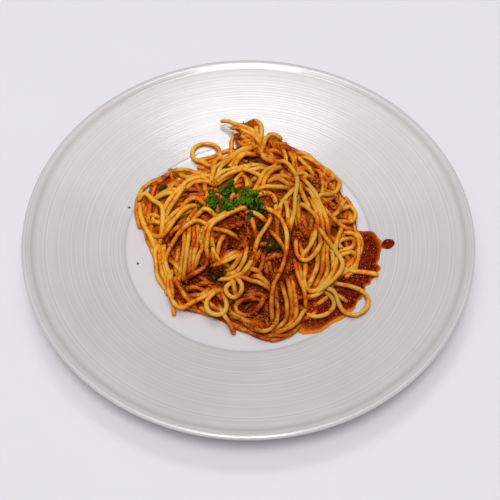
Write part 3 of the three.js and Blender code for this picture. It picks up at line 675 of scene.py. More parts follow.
def side_by_side(group, draw):
    """The noodles of a row: its route shifted sideways, each with its own wander and its own ends."""
    points, pale, *bundle = group
    count, gap = bundle or (1, 0)
    route = smooth_route(points)
    ahead = np.gradient(averaged(route, 4), axis=0)
    aside = np.stack([-ahead[:, 1], ahead[:, 0]], axis=1) / np.linalg.norm(ahead, axis=1)[:, None]
    length = STEP * np.arange(len(route))
    noodles = []
    for place in range(count):
        shift = (place - (count - 1) / 2) * gap
        wander = sum(
            draw.uniform(0.2, 0.8) * np.sin(2 * math.pi * (length / draw.uniform(18, 40) + draw.random()))
            for _ in range(2)
        )
        if count == 1:
            wander = wander * 0.3
        else:
            shift = shift + draw.normal(0, 0.35) + draw.normal(0, 0.5) * (length / length[-1] - 0.5) * 2
        noodle = route + aside * (shift + wander)[:, None]
        if count > 1:
            cut = draw.integers(0, 8, 2)
            noodle = noodle[cut[0]:len(noodle) - cut[1]]
        noodle = tucked(at_steps(averaged(noodle, 2), STEP))
        tone = np.clip(pale + draw.normal(0, 0.08), 0, 1)
        noodles.append((noodle, tone))
    return sorted(noodles, key=lambda noodle: -heap_share(*noodle[0].T).mean())


# Arcs of noodles under those that show, the outer ones first: the share of the heap's radius and how many
ARCS = [(0.97, 10), (0.88, 11), (0.78, 12), (0.67, 10), (0.54, 9), (0.4, 7), (0.24, 5)]
ARC_POINTS = 40
OUTERMOST = 0.985


def filling(draw):
    """The noodles under those that show, in arcs round the heap."""
    noodles = []
    for share, count in ARCS:
        for number in range(count):
            middle = 360 * (number + draw.random() * 0.7) / count
            half = draw.uniform(22, 40) / (0.35 + share)
            azimuths = np.radians(np.linspace(middle - half, middle + half, ARC_POINTS))
            drift = share + draw.uniform(-0.08, 0.02) * np.sin(np.linspace(0, draw.uniform(2, 6), ARC_POINTS))
            radii = np.minimum(drift, OUTERMOST) * heap_radius(np.degrees(azimuths))
            curve = np.stack([radii * np.cos(azimuths), radii * np.sin(azimuths)], axis=1) + HEAP_MIDDLE
            noodles.append((at_steps(averaged(curve, 2), STEP), np.clip(draw.normal(0.4, 0.12), 0, 1)))
    return noodles


draw = np.random.default_rng(11)
under_plans = filling(draw)
for group in UNDER_ROUTES:
    under_plans += side_by_side(group, draw)
plans = [noodle for group in ROUTES for noodle in side_by_side(group, draw)]
plate_plans = [noodle for group in PLATE_ROUTES for noodle in side_by_side(group, draw)]

# The cells round a noodle's middle line in which it holds up another one, and by how much
reach = int(2 * NOODLE_RADIUS / CELL) + 1
offsets = np.array([(i, j) for i in range(-reach, reach + 1) for j in range(-reach, reach + 1)])
apart = np.hypot(*offsets.T) * CELL
near = apart < NOODLE_PRESS
offsets, rise = offsets[near], np.sqrt(NOODLE_PRESS**2 - apart[near] ** 2)


def lie_down(noodle, bed, rest):
    """The heights at which a noodle comes to rest on its bed and on the noodles below it."""
    at = cells(noodle)
    need = np.maximum(bed[at], rest[at])
    for i in range(OWN_STEPS + 1, len(need)):
        over = np.hypot(*(noodle[:i - OWN_STEPS] - noodle[i]).T)
        close = over < NOODLE_PRESS
        if close.any():
            crossed = need[:i - OWN_STEPS][close] + np.sqrt(NOODLE_PRESS**2 - over[close] ** 2)
            need[i] = max(need[i], crossed.max())
    along = STEP * np.arange(len(need))
    need = (need[None, :] - (along[:, None] - along[None, :]) ** 2 / (2 * NOODLE_BEND)).max(1)
    height = need
    for _ in range(4):
        height = np.maximum(averaged(height, 4), need - NOODLE_SAG)
    return averaged(height, 2)


def lay(noodle, bed, rest):
    """Lays a noodle, gives its middle line, and raises the map of how low the next one can lie."""
    height = lie_down(noodle, bed, rest)
    i, j = cells(noodle)
    rows = np.clip(i[:, None] + offsets[:, 0], 0, MAP_CELLS - 1)
    columns = np.clip(j[:, None] + offsets[:, 1], 0, MAP_CELLS - 1)
    np.maximum.at(rest, (rows, columns), height[:, None] + rise)
    return np.column_stack([noodle, height])


def bare_map():
    """A map of how low a noodle can lie, before there is any."""
    return np.full((MAP_CELLS, MAP_CELLS), -100.0)


def lay_all(bed):
    """Lays every noodle in turn. Gives their middle lines and the map of how low another could lie."""
    rest = bare_map()
    laid = [lay(noodle, bed, rest) for noodle, _ in under_plans + filler_plans + plans]
    return laid, rest


FILLERS = 320
FILL_LEVEL = 0.9
FILL_SHARE = 0.9
FILLER_END_SHARE = 0.94
FEWEST_POINTS = 12
GIVEN_UP = 6


def fill_hollows(bed, draw):
    """Noodles that close the hollows which the lower ones leave: each runs through the deepest one left."""
    rest = bare_map()
    for noodle, _ in under_plans:
        lay(noodle, bed, rest)
    fillers = []
    for _ in range(FILLERS):
        depth = np.where(SHARE_MAP < FILL_SHARE, TOP_MAP - FILL_LEVEL - blurred(rest, 4), -1)
        i, j = np.unravel_index(np.argmax(depth), depth.shape)
        if depth[i, j] < 0:
            break
        middle = np.array([MAP_X[i, j], MAP_Y[i, j]])
        around = np.arctan2(middle[1] - HEAP_MIDDLE[1], middle[0] - HEAP_MIDDLE[0]) + math.pi / 2
        way = around + draw.normal(0, 0.8)
        ahead, aside = np.array([math.cos(way), math.sin(way)]), np.array([-math.sin(way), math.cos(way)])
        half, bow = draw.uniform(10, 22), draw.uniform(-7, 7)
        route = [middle + t * half * ahead + bow * (1 - t * t) * aside for t in (-1, -0.5, 0, 0.5, 1)]
        noodle = smooth_route(route)
        noodle = noodle[heap_share(*noodle.T) < FILLER_END_SHARE]
        if len(noodle) > FEWEST_POINTS:
            lay(noodle, bed, rest)
            fillers.append((noodle, np.clip(draw.normal(0.35, 0.15), 0, 1)))
        else:
            around_it = np.s_[i - GIVEN_UP:i + GIVEN_UP + 1, j - GIVEN_UP:j + GIVEN_UP + 1]
            rest[around_it] = TOP_MAP[around_it]
    return fillers


# The noodles are laid several times. In between, their bed is moved until their tops meet the heap's shape.
LAYING_ROUNDS = 4
TOPS_BELOW = 0.6
BED_SHARE = 0.8
floor_map = PLATE_MAP + NOODLE_RADIUS + CLEARANCE
bed = np.maximum(TOP_MAP - UNDER_DEPTH, floor_map)
for attempt in range(LAYING_ROUNDS):
    if attempt < LAYING_ROUNDS - 1:
        filler_plans = fill_hollows(bed, np.random.default_rng(23))
    laid, rest = lay_all(bed)
    covered = (rest > 0) & (SHARE_MAP < 0.99)
    weight = blurred(covered.astype(float), 8) + 1e-6
    tops = blurred(np.where(covered, rest - NOODLE_PRESS + NOODLE_RADIUS, 0), 8) / weight
    lower = np.where(weight > 0.05, np.clip(TOP_MAP - TOPS_BELOW - tops, -8, 4), 0)
    bed = np.maximum(bed + BED_SHARE * blurred(lower, 6), floor_map)
laid, rest = lay_all(bed)

# The heap is pressed down where it stands too high, all its noodles at a place by the same share of their
# height. Then the loose noodles are laid on the plate and in the puddle.
LOOSE_HEIGHT = 6.0
MOST_PRESSED = 0.3
PUDDLE_LIFT = 0.9
PUDDLE_FROM = 45
limit = np.maximum(TOP_MAP + 0.2, PLATE_MAP + LOOSE_HEIGHT)
tops = np.maximum(rest - NOODLE_PRESS + NOODLE_RADIUS, PLATE_MAP + 2)
highest = spread(tops, 3, np.maximum)
allowed = np.clip((limit - PLATE_MAP) / (highest - PLATE_MAP), MOST_PRESSED, 1)
PRESSED = blurred(blurred(spread(allowed, 6, np.minimum), 3), 3)
for noodle in laid:
    at = cells(noodle[:, :2])
    pressed = PLATE_MAP[at] + averaged(PRESSED[at], 2) * (noodle[:, 2] - PLATE_MAP[at])
    noodle[:, 2] = np.maximum(pressed, PLATE_MAP[at] + NOODLE_RADIUS)
plate_bed = floor_map + PUDDLE_LIFT * (MAP_X > PUDDLE_FROM)
plate_rest = bare_map()
laid += [lay(noodle, plate_bed, plate_rest) for noodle, _ in plate_plans]
TOPS = PLATE_MAP + PRESSED * (np.maximum(rest - NOODLE_PRESS + NOODLE_RADIUS, PLATE_MAP) - PLATE_MAP)
SOFT_TOPS = blurred(TOPS, 4)


def nearness(points, rows):
    """How far some points are within the places of a table, by the last value of its rows."""
    x, y = points[:, 0], points[:, 1]
    amount = np.zeros(len(points))
    for middle_x, middle_y, wide, much in rows:
        amount = np.maximum(amount, much * np.exp(-(((x - middle_x) ** 2 + (y - middle_y) ** 2) / wide**2)))
    return amount


HIDDEN_DEPTH = 2.2
HIDDEN_SPAN = 1.5


def hidden(points):
    """How much shade is painted on some points that lie down in the dark hollows, from 0 to 1."""
    below = SOFT_TOPS[cells(points[:, :2])] - points[:, 2] - HIDDEN_DEPTH
    return nearness(points, HOLLOWS) * np.clip(below / HIDDEN_SPAN, 0, 1)


def sauce_and_shade(points):
    """How dark a noodle's colour is at some points: more sauce in the sauced places, darker deep in the heap,
    and painted shade in the hollows.
    """
    deep = np.clip((heap_top(points[:, 0], points[:, 1]) - points[:, 2] - 2.5) / 8.0, 0, 1)
    lightening = nearness(points, LIGHTER_PLACES)
    sauce = BASE_COAT + 0.7 * nearness(points, SAUCED) + 0.55 * (1 - lightening) * deep - 0.08 * lightening
    return np.clip(sauce, 0, 1) + hidden(points)


def bands(first, count, sides):
    """The faces between rings of corners: some bands, the first ring starting at the corner named first."""
    ring = first + sides * np.arange(count)[:, None]
    side = np.arange(sides)
    turn = (side + 1) % sides
    corners = [ring + side, ring + sides + side, ring + sides + turn, ring + turn]
    return np.stack(corners, axis=-1).reshape(-1, 4)


END_SHARE = 0.72
TIP = 0.25


def tube(points, radius, sides):
    """The rings and faces of a closed tube along some points, in mm, its ends rounded off."""
    ahead = np.gradient(points, axis=0)
    ahead /= np.linalg.norm(ahead, axis=1)[:, None]
    aside = np.cross(ahead, (0, 0, 1.0))
    aside /= np.linalg.norm(aside, axis=1)[:, None]
    above = np.cross(aside, ahead)
    angles = 2 * math.pi * np.arange(sides) / sides
    ends = np.ones(len(points))
    ends[0] = ends[-1] = END_SHARE
    reach = (radius * ends)[:, None, None]
    rings = points[:, None] + reach * (
        np.cos(angles)[None, :, None] * aside[:, None] + np.sin(angles)[None, :, None] * above[:, None]
    )
    tips = [points[:1] - TIP * ahead[:1], points[-1:] + TIP * ahead[-1:]]
    corners = np.vstack([rings.reshape(-1, 3), *tips])
    last = sides * (len(points) - 1)
    side = np.arange(sides)
    turn = (side + 1) % sides
    start_cap = np.stack([np.full(sides, len(corners) - 2), side, turn], axis=1)
    end_cap = np.stack([np.full(sides, len(corners) - 1), last + turn, last + side], axis=1)
    return corners, bands(0, len(points) - 1, sides), start_cap, end_cap


def joined(name, parts, attributes):
    """One smooth mesh from many closed shapes in mm, with a value of each attribute at every corner."""
    corners, faces, count = [], [], 0
    for shape_corners, *shape_faces in parts:
        corners.append(shape_corners)
        for group in shape_faces:
            faces += (group + count).tolist()
        count += len(shape_corners)
    mesh = bpy.data.meshes.new(name)
    mesh.from_pydata((np.vstack(corners) * MM).tolist(), [], faces)
    mesh.polygons.foreach_set("use_smooth", [True] * len(mesh.polygons))
    for attribute, values in attributes.items():
        layer = mesh.attributes.new(attribute, "FLOAT", "POINT")
        layer.data.foreach_set("value", np.concatenate(values).astype(np.float32))
    return added(name, mesh)


def thinned(points):
    """A noodle's points kept closer together where it bends."""
    ahead = np.gradient(points, axis=0) / STEP
    bend = np.linalg.norm(np.gradient(ahead, axis=0), axis=1) / STEP
    density = STEP * np.clip(0.42 + 1.1 * averaged(bend, 2), 0.42, 0.8)
    marks = np.concatenate([[0], np.cumsum(density)[1:]])
    even = np.linspace(0, marks[-1], max(4, round(marks[-1])))
    return np.stack([np.interp(even, marks, part) for part in points.T], axis=1)


NOODLE_SIDES = 8
SIDE_SAUCE_AND_SHADE = 0.45
DIVE = 4.5
DIVE_LENGTH = 9.0
parts, tones, sauce_and_shade_values, painted_shades = [], [], [], []
all_plans = under_plans + filler_plans + plans + plate_plans
for number, (points, (_, tone)) in enumerate(zip(laid, all_plans)):
    if number < len(all_plans) - len(plate_plans):
        along = STEP * np.arange(len(points))
        end = np.minimum(along, along[-1] - along) / DIVE_LENGTH
        down = DIVE * np.clip(1 - end, 0, 1) ** 2
        floor = plate_top(np.hypot(points[:, 0], points[:, 1])) + NOODLE_RADIUS + CLEARANCE
        points[:, 2] = np.maximum(points[:, 2] - down, np.minimum(floor, points[:, 2]))
    points = thinned(points)
    uneven = 1 + 0.06 * np.sin(np.arange(len(points)) * draw.uniform(0.3, 0.9) + draw.uniform(0, 6))
    parts.append(tube(points, NOODLE_RADIUS * draw.uniform(0.94, 1.04) * uneven, NOODLE_SIDES))
    corners = parts[-1][0]
    # The noodle's sauce, with the painted shade of the hollows added
    sauce = sauce_and_shade(points)
    per_corner = np.concatenate([np.repeat(sauce, NOODLE_SIDES), sauce[:1], sauce[-1:]])
    middles = np.vstack([np.repeat(points, NOODLE_SIDES, 0), points[:1], points[-1:]])
    facing_up = (corners[:, 2] - middles[:, 2]) / NOODLE_RADIUS
    # More sauce colour on each noodle's sides and underside and less on its crest: partly sauce that runs
    # down, partly painted shade on the sides and a painted highlight along the top
    side_sauce_and_shade = SIDE_SAUCE_AND_SHADE * (1 - 0.6 * nearness(corners, LIGHTER_PLACES))
    sauce_and_shade_values.append(per_corner + side_sauce_and_shade * np.clip(0.7 - facing_up, -0.3, 1.1))
    tones.append(np.full(len(corners), tone))
    # Painted shade: the noodles in those places and deep in the hollows are coloured darker
    painted_shades.append(np.maximum(nearness(corners, PAINTED_SHADE), hidden(corners)))
spaghetti = joined("spaghetti_noodles", parts, {"tone": tones, "sauce_and_shade": sauce_and_shade_values, "painted_shade": painted_shades})

pasta, sockets, shade = finish_of(
    "sauced pasta", Subsurface_Weight=0.2, Subsurface_Radius=(1.0, 0.5, 0.15), Subsurface_Scale=0.0016,
    Specular_IOR_Level=0.1,
)
tone = shade.attribute("tone")
sauced_and_shaded = shade.attribute("sauce_and_shade")
fine = shade.noise(900.0, 3.0, 0.6)
patchy = shade.noise(160.0, 4.0, 0.65)
broad = shade.noise(60.0, 1.0, 0.5)
level = sauced_and_shaded + 2.2 * (patchy - 0.5) + 0.9 * (fine - 0.5) + 1.1 * (broad - 0.5) - 0.6 * (tone - 0.65)
oiled = level.clear(0.0, 0.32).blend(colour(223, 167, 60), colour(217, 133, 12))
sauced = level.clear(0.32, 0.72).blend(oiled, colour(193, 82, 5))
skin = level.clear(0.72, 1.15).blend(sauced, colour(118, 28, 0))
# Painted shade: where it is set, the noodles' red and green are multiplied down
painted_shade = shade.attribute("painted_shade")
shade_multiply = {"data_type": "RGBA", "blend_type": "MULTIPLY"}
skin = shade.make("ShaderNodeMix", shade_multiply, {0: painted_shade, 6: skin, 7: (0.6, 0.6, 1.0, 1)}, 2)
# Painted highlight: tiny pale glints coloured into the noodles
painted_glint = shade.noise(1400.0, 1.0, 0.5).clear(0.62, 0.74) * 0.4
skin = painted_glint.blend(skin, colour(250, 206, 140))
film = level.clear(0.3, 0.8)
dress(sockets, Base_Color=skin, Roughness=0.22 + 0.12 * fine, Normal=shade.bump(fine * film, 0.0005, 0.6))
spaghetti.data.materials.append(pasta)
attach(spaghetti, "root")
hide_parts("spaghetti")

# Meat sauce: tomato and minced beef cooked down until thick, that fills the heap between the noodles and lies
# open in patches on top. It is one lumpy body under the noodles, and crumbs of mince lie on it and on them.
SAUCE_DEPTH = 9.0
OPEN_DEPTH = 3.2
# The open patches: middle [x, y] and radius
MEAT_PATCHES = [
    (-8, -3, 4.5), (-4, -14, 4), (17, -27, 4), (36, -7, 6), (5, -66, 7), (-44, 5, 5), (27, 79, 7),
    (-1, 95, 4), (18, -36, 5), (46, 42, 6), (12, 15, 6), (26, -30, 4), (14, -66, 5), (-52, 54, 5),
    (60, 20, 4), (9, 62, 5), (-1, -10, 4), (66, -40, 7),
]


def grainy(x, y, size, draw):
    """Soft random lumps from 0 to 1, about this size in mm across, at some places."""
    table = draw.random((97, 97))
    x, y = x / size, y / size
    column, row = np.floor(x).astype(int), np.floor(y).astype(int)
    u, v = x - column, y - row
    u, v = u * u * (3 - 2 * u), v * v * (3 - 2 * v)
    corner = [[table[(column + i) % 97, (row + j) % 97] for j in (0, 1)] for i in (0, 1)]
    low = corner[0][0] * (1 - u) + corner[1][0] * u
    high = corner[0][1] * (1 - u) + corner[1][1] * u
    return low * (1 - v) + high * v


draw = np.random.default_rng(5)
map_points = np.column_stack([MAP_X.ravel(), MAP_Y.ravel()])
dark = nearness(map_points, HOLLOWS).reshape(MAP_X.shape)
patches = [(x, y, 0.7 * wide, 1) for x, y, wide in MEAT_PATCHES]
open_sauce = nearness(map_points, patches).reshape(MAP_X.shape) * (1 - dark)
edge_level = PLATE_MAP + np.clip(0.42 * (SOFT_TOPS - PLATE_MAP), 0.4, 3.2)
sauce_level = np.maximum(SOFT_TOPS - SAUCE_DEPTH, edge_level)
raised = SOFT_TOPS - OPEN_DEPTH
sauce_level = sauce_level + (np.maximum(raised, sauce_level) - sauce_level) * np.clip(1.2 * open_sauce, 0, 1)
lumps = 1.6 * (grainy(MAP_X, MAP_Y, 2.6, draw) - 0.5) + 0.9 * (grainy(MAP_X, MAP_Y, 1.3, draw) - 0.5)
sauce_level = np.maximum(sauce_level + lumps * np.clip((1 - SHARE_MAP) * 8, 0, 1), PLATE_MAP + 0.4)
shape = bmesh.new()
bmesh.ops.create_icosphere(shape, subdivisions=7, radius=1)
for vert in shape.verts:
    share = math.hypot(vert.co.x, vert.co.y)
    azimuth = math.degrees(math.atan2(vert.co.y, vert.co.x))
    radius = share * (heap_radius(azimuth) - NOODLE_RADIUS)
    x = HEAP_MIDDLE[0] + radius * math.cos(math.radians(azimuth))
    y = HEAP_MIDDLE[1] + radius * math.sin(math.radians(azimuth))
    low = plate_top(math.hypot(x, y)) + CLEARANCE
    high = max(value_at(sauce_level, x, y), low + 0.3)
    vert.co = Vector((x, y, high if vert.co.z > 0 else low)) * MM
core = added("meat_sauce", smooth_mesh("meat_sauce", shape))
core_points = np.array([vert.co[:2] for vert in core.data.vertices]) / MM
for attribute, rows in (("dark", HOLLOWS), ("lightening", LIGHTER_PLACES)):
    layer = core.data.attributes.new(attribute, "FLOAT", "POINT")
    layer.data.foreach_set("value", nearness(core_points, rows).astype(np.float32))
meat_finish, sockets, shade = finish_of("meat sauce", Specular_IOR_Level=0.03)
fine = shade.noise(420.0, 4.0, 0.65)
broad = shade.noise(120.0, 2.0, 0.5)
stew = fine.clear(0.3, 0.7).blend(colour(84, 9, 0), colour(168, 48, 2))
stew = broad.clear(0.6, 0.85).blend(stew, colour(120, 50, 8))
stew = (0.7 * shade.attribute("lightening")).blend(stew, colour(190, 88, 14))
# Painted shade: in the dark hollows the sauce is coloured near black
stew = shade.attribute("dark").blend(stew, colour(30, 3, 1))
# Pale flecks in the sauce: partly beads of fat, partly painted glints of wet sauce
fat_and_painted_glints = shade.noise(1500.0, 1.0, 0.5).clear(0.64, 0.7)
stew = fat_and_painted_glints.blend(stew, colour(232, 134, 46))
dress(sockets, Base_Color=stew, Roughness=0.2 + 0.12 * broad, Normal=shade.bump(fine, 0.001, 0.8))
core.data.materials.append(meat_finish)
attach(core, "root")

# Mince: crumbs of browned beef and bits of tomato, stuck to the noodles and heaped in the open patches.
# Each is a small rough stone shape, sunk a little into what it lies on.
CRUMBS = 4700
SMALLEST_CRUMB = 0.3
LARGEST_CRUMB = 1.15
LOWEST_CRUMB = 1.5
stone = bmesh.new()
bmesh.ops.create_icosphere(stone, subdivisions=1, radius=1)
STONE_CORNERS = np.array([vert.co for vert in stone.verts])
STONE_FACES = np.array([[vert.index for vert in face.verts] for face in stone.faces])
stone.free()


def crumb(place, radius, draw):
    """The corners and faces of a rough stone at a place, in mm."""
    waves = draw.normal(0, 2.2, (3, 3))
    rough = 1 + 0.16 * np.sin(STONE_CORNERS @ waves.T + draw.uniform(0, 6, 3)).sum(1)
    turn = np.linalg.qr(draw.normal(size=(3, 3)))[0]
    turn[:, 0] *= np.sign(np.linalg.det(turn))
    shape = (STONE_CORNERS * rough[:, None] * draw.uniform(0.65, 1.15, 3)) @ turn.T
    return shape * radius + place, STONE_FACES


# Clumps of mince: middle [x, y], how far they spread and how many crumbs
MEAT_CLUMPS = [
    (-4, 95, 2.2, 60), (3, 95, 2.6, 70), (-7, 85, 2.6, 34), (24.5, 74, 2.4, 80), (5, -66, 5.5, 80),
    (-8, -3, 4.4, 70), (-3, -19, 3.4, 50), (36, -7, 4.5, 50), (46, 42, 4.0, 60), (-67, 44, 3.0, 36),
    (2, -27, 4.0, 20), (17, -29, 3.5, 20), (12, 12, 4.0, 50), (58, 20, 3.5, 36), (-42, -41, 4.0, 40),
]
surface = np.maximum(TOPS, sauce_level)
clump_bed = np.minimum(surface, blurred(surface, 4)) - 0.3
hollow = np.clip((blurred(surface, 4) - surface) / 1.5, 0, 1)
on_heap = ((SHARE_MAP < 0.97) | (open_sauce > 0.3)) & (surface > PLATE_MAP + LOWEST_CRUMB)
in_patch = 0.03 + 2.2 * np.clip(open_sauce, 0, 1) ** 1.5
likely = (1 - dark) ** 2 * on_heap * in_patch * (0.05 + 1.95 * hollow)
likely = (likely / likely.sum()).ravel()
crumb_cells = np.unravel_index(draw.choice(likely.size, CRUMBS, p=likely), TOP_MAP.shape)
parts, kinds = [], []
for i, j in zip(*crumb_cells):
    grown = (LARGEST_CRUMB - SMALLEST_CRUMB) * draw.random() ** 2
    radius = SMALLEST_CRUMB + grown * (0.5 + 0.5 * open_sauce[i, j])
    x, y = MAP_X[i, j] + draw.uniform(-0.2, 0.2), MAP_Y[i, j] + draw.uniform(-0.2, 0.2)
    parts.append(crumb((x, y, surface[i, j] + 0.1 * radius), radius, draw))
    kinds.append(np.full(len(STONE_CORNERS), draw.random()))
for middle_x, middle_y, wide, count in MEAT_CLUMPS:
    for _ in range(count):
        x, y = middle_x + draw.normal(0, 0.6) * wide, middle_y + draw.normal(0, 0.6) * wide
        if value_at(surface, x, y) < value_at(PLATE_MAP, x, y) + LOWEST_CRUMB:
            continue
        under = value_at(clump_bed, x, y)
        radius = draw.uniform(0.35, 1.2)
        parts.append(crumb((x, y, under + draw.uniform(-0.4, 0.9)), radius, draw))
        kinds.append(np.full(len(STONE_CORNERS), draw.uniform(0.2, 1)))
mince = joined("mince_crumbs", parts, {"kind": kinds})
mince_finish, sockets, shade = finish_of("browned mince", Specular_IOR_Level=0.06)
kind = shade.attribute("kind")
fine = shade.noise(1100.0, 3.0, 0.6)
brown = fine.blend(colour(58, 14, 2), colour(160, 80, 22))
tomato = fine.blend(colour(144, 38, 0), colour(216, 104, 14))
pale = fine.blend(colour(160, 84, 22), colour(212, 132, 50))
crumbly = kind.clear(0.3, 0.6).blend(brown, tomato)
crumbly = kind.clear(0.88, 0.95).blend(crumbly, pale)
dress(sockets, Base_Color=crumbly, Roughness=0.25 + 0.25 * fine, Normal=shade.bump(fine, 0.0005, 0.7))
mince.data.materials.append(mince_finish)
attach(mince, "root")

# Parsley: five sprigs of curly parsley in a small bunch on the crown, and flecks of it chopped small on the
# heap and on the plate. Each sprig is a cluster of thin crinkled leaflets.
# Sprigs: node, middle [x, y], half sizes, turn in degrees, how many leaflets and how bright
SPRIGS = [
    ("parsley_1", (-24, 15), (4.2, 9.8), 8, 84, 0.4),
    ("parsley_2", (-13.5, 26), (8.2, 8.6), -20, 136, 0.45),
    ("parsley_3", (-1, 17), (8.4, 9.6), 10, 166, 0.75),
    ("parsley_4", (-14, 11.5), (7.0, 7.4), 30, 104, 0.5),
    ("parsley_5", (6.5, 10.5), (5.6, 8.4), 25, 90, 0.12),
]
LEAFLET_RINGS = 2
LEAFLET_SIDES = 13
LEAFLET_THICK = 0.2
LEAFLET_SIZES = (0.7, 2.0)
LEAFLET_TURN = 2.4
SPRIG_FULLNESS = 0.85
LOBES = 4


def disc_faces(rings, sides):
    """The faces of a closed disc with a middle corner and rings of corners on top, and the same below."""
    side = np.arange(sides)
    turn = (side + 1) % sides
    fan = np.stack([np.zeros_like(side), 1 + side, 1 + turn], axis=1)
    quads = bands(1, rings - 1, sides)
    below = 1 + sides * rings
    last = below - sides
    edge = np.stack([last + side, below + last + side, below + last + turn, last + turn], axis=1)
    return fan, quads, fan[:, ::-1] + below, quads[:, ::-1] + below, edge


def leaflet(place, size, tilt, draw):
    """A crinkled leaflet, closed, at a place in mm: its lobes stand up and down in turn."""
    angles = 2 * math.pi * np.arange(LEAFLET_SIDES) / LEAFLET_SIDES
    lobes, waves = draw.integers(3, 5), draw.integers(3, 5)
    start = draw.uniform(0, 6, 3)
    outline = 0.78 + 0.22 * np.cos(lobes * angles + start[0]) + draw.normal(0, 0.05, LEAFLET_SIDES)
    corners = [np.zeros((1, 3))]
    for ring in range(1, LEAFLET_RINGS + 1):
        part = ring / LEAFLET_RINGS
        reach = part * size * outline
        lift = size * (0.42 * part**1.6 * np.sin(waves * angles + start[1]) - 0.3 * part**2)
        corners.append(np.column_stack([reach * np.cos(angles), reach * np.sin(angles), lift]))
    upper = np.vstack(corners)
    lower = upper - (0, 0, LEAFLET_THICK)
    spin, way = draw.uniform(0, 6.28), draw.uniform(0, 6.28)
    turned = Matrix.Rotation(way, 3, "Z") @ Matrix.Rotation(tilt, 3, "X") @ Matrix.Rotation(spin, 3, "Z")
    both = np.vstack([upper, lower]) @ np.array(turned).T + place
    return both, *disc_faces(LEAFLET_RINGS, LEAFLET_SIDES)


leaf_finish, sockets, shade = finish_of(
    "parsley leaf", Specular_IOR_Level=0.12, Subsurface_Weight=0.15, Subsurface_Radius=(0.4, 1.0, 0.2),
    Subsurface_Scale=0.0008,
)
bright = shade.attribute("bright")
fine = shade.noise(1500.0, 2.0, 0.5)
# The leaflets go from a dark shaded green to a light lit green as they are brighter: painted light and shade,
# with some tone of their own
dark_leaf = fine.blend(colour(10, 26, 0), colour(26, 50, 0))
light_leaf = fine.blend(colour(50, 86, 0), colour(94, 134, 6))
leafy = bright.clear(0.1, 0.9).blend(dark_leaf, light_leaf)
dress(sockets, Base_Color=leafy, Roughness=0.4 + 0.2 * fine, Normal=shade.bump(fine, 0.0003, 0.5))
blurred_surface = blurred(surface, 5)


def sprig(name, middle, half, turn, count, bright):
    """A sprig: leaflets over an oval, standing on whatever lies under each."""
    parts, brights = [], []
    start = draw.uniform(-0.5, 0.5)
    cos, sin = math.cos(math.radians(turn)), math.sin(math.radians(turn))
    for number in range(count):
        out = math.sqrt((number + 0.5) / count)
        angle = number * LEAFLET_TURN + draw.uniform(-0.3, 0.3)
        ragged = out * draw.uniform(0.72, 1.14) * (0.88 + 0.26 * math.cos(LOBES * angle + start))
        u = half[0] * SPRIG_FULLNESS * ragged * math.cos(angle)
        v = half[1] * SPRIG_FULLNESS * ragged * math.sin(angle)
        x, y = middle[0] + u * cos - v * sin, middle[1] + u * sin + v * cos
        rise = 0.2 + 2.0 * (1 - out**2) * draw.uniform(0.1, 1)
        place = (x, y, value_at(blurred_surface, x, y) + rise)
        shape = leaflet(place, draw.uniform(*LEAFLET_SIZES), draw.uniform(0.2, 1.3), draw)
        parts.append(shape)
        # Higher leaflets and the raised corners of each are painted brighter, lower ones darker: painted
        # light and shade, with a random tone
        level = shape[0][:, 2] - shape[0][:, 2].mean()
        brights.append(np.clip(bright + 0.3 * level + 0.16 * (rise - 1.2) + draw.normal(0, 0.3), 0, 1))
    piece = joined(name.replace("parsley", "sprig"), parts, {"bright": brights})
    piece.data.materials.append(leaf_finish)
    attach(piece, "root")
    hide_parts(name)


for row in SPRIGS:
    sprig(*row)

# Flecks of parsley: middle [x, y], how far they spread, how many leaflets and how bright
HERB_FLECKS = [
    (-58, 42, 2.4, 14, 0.25), (-2, 55, 1.6, 8, 0.25), (5, 53, 1.6, 7, 0.25), (-15, 47, 1.5, 8, 0.25),
    (1, 0, 1.7, 13, 0.3), (14, -21, 3.0, 15, 0.0), (19, -20, 1.8, 8, 0.1), (12, -15, 1.5, 9, -0.1),
    (8, -6, 1.6, 9, -0.1), (-31, 10, 1.4, 5, 0.25), (21, -9, 1.2, 4, 0.25),
]
PLATE_FLECKS = [(-74, -16), (-82, 28)]
parts, brights = [], []
for middle_x, middle_y, wide, count, bright in HERB_FLECKS:
    for _ in range(count):
        x, y = middle_x + draw.normal(0, 0.6) * wide, middle_y + draw.normal(0, 0.6) * wide
        place = (x, y, value_at(surface, x, y) + 0.5)
        shape = leaflet(place, draw.uniform(1.0, 1.9), draw.uniform(0, 0.9), draw)
        parts.append(shape)
        brights.append(np.full(len(shape[0]), bright + draw.uniform(-0.25, 0.25)))
for x, y in PLATE_FLECKS:
    shape = leaflet((x, y, float(plate_top(math.hypot(x, y))) + 0.5), 1.1, 0.2, draw)
    parts.append(shape)
    brights.append(np.full(len(shape[0]), 0.3))
flecks = joined("parsley_flecks", parts, {"bright": brights})
flecks.data.materials.append(leaf_finish)
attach(flecks, "root")

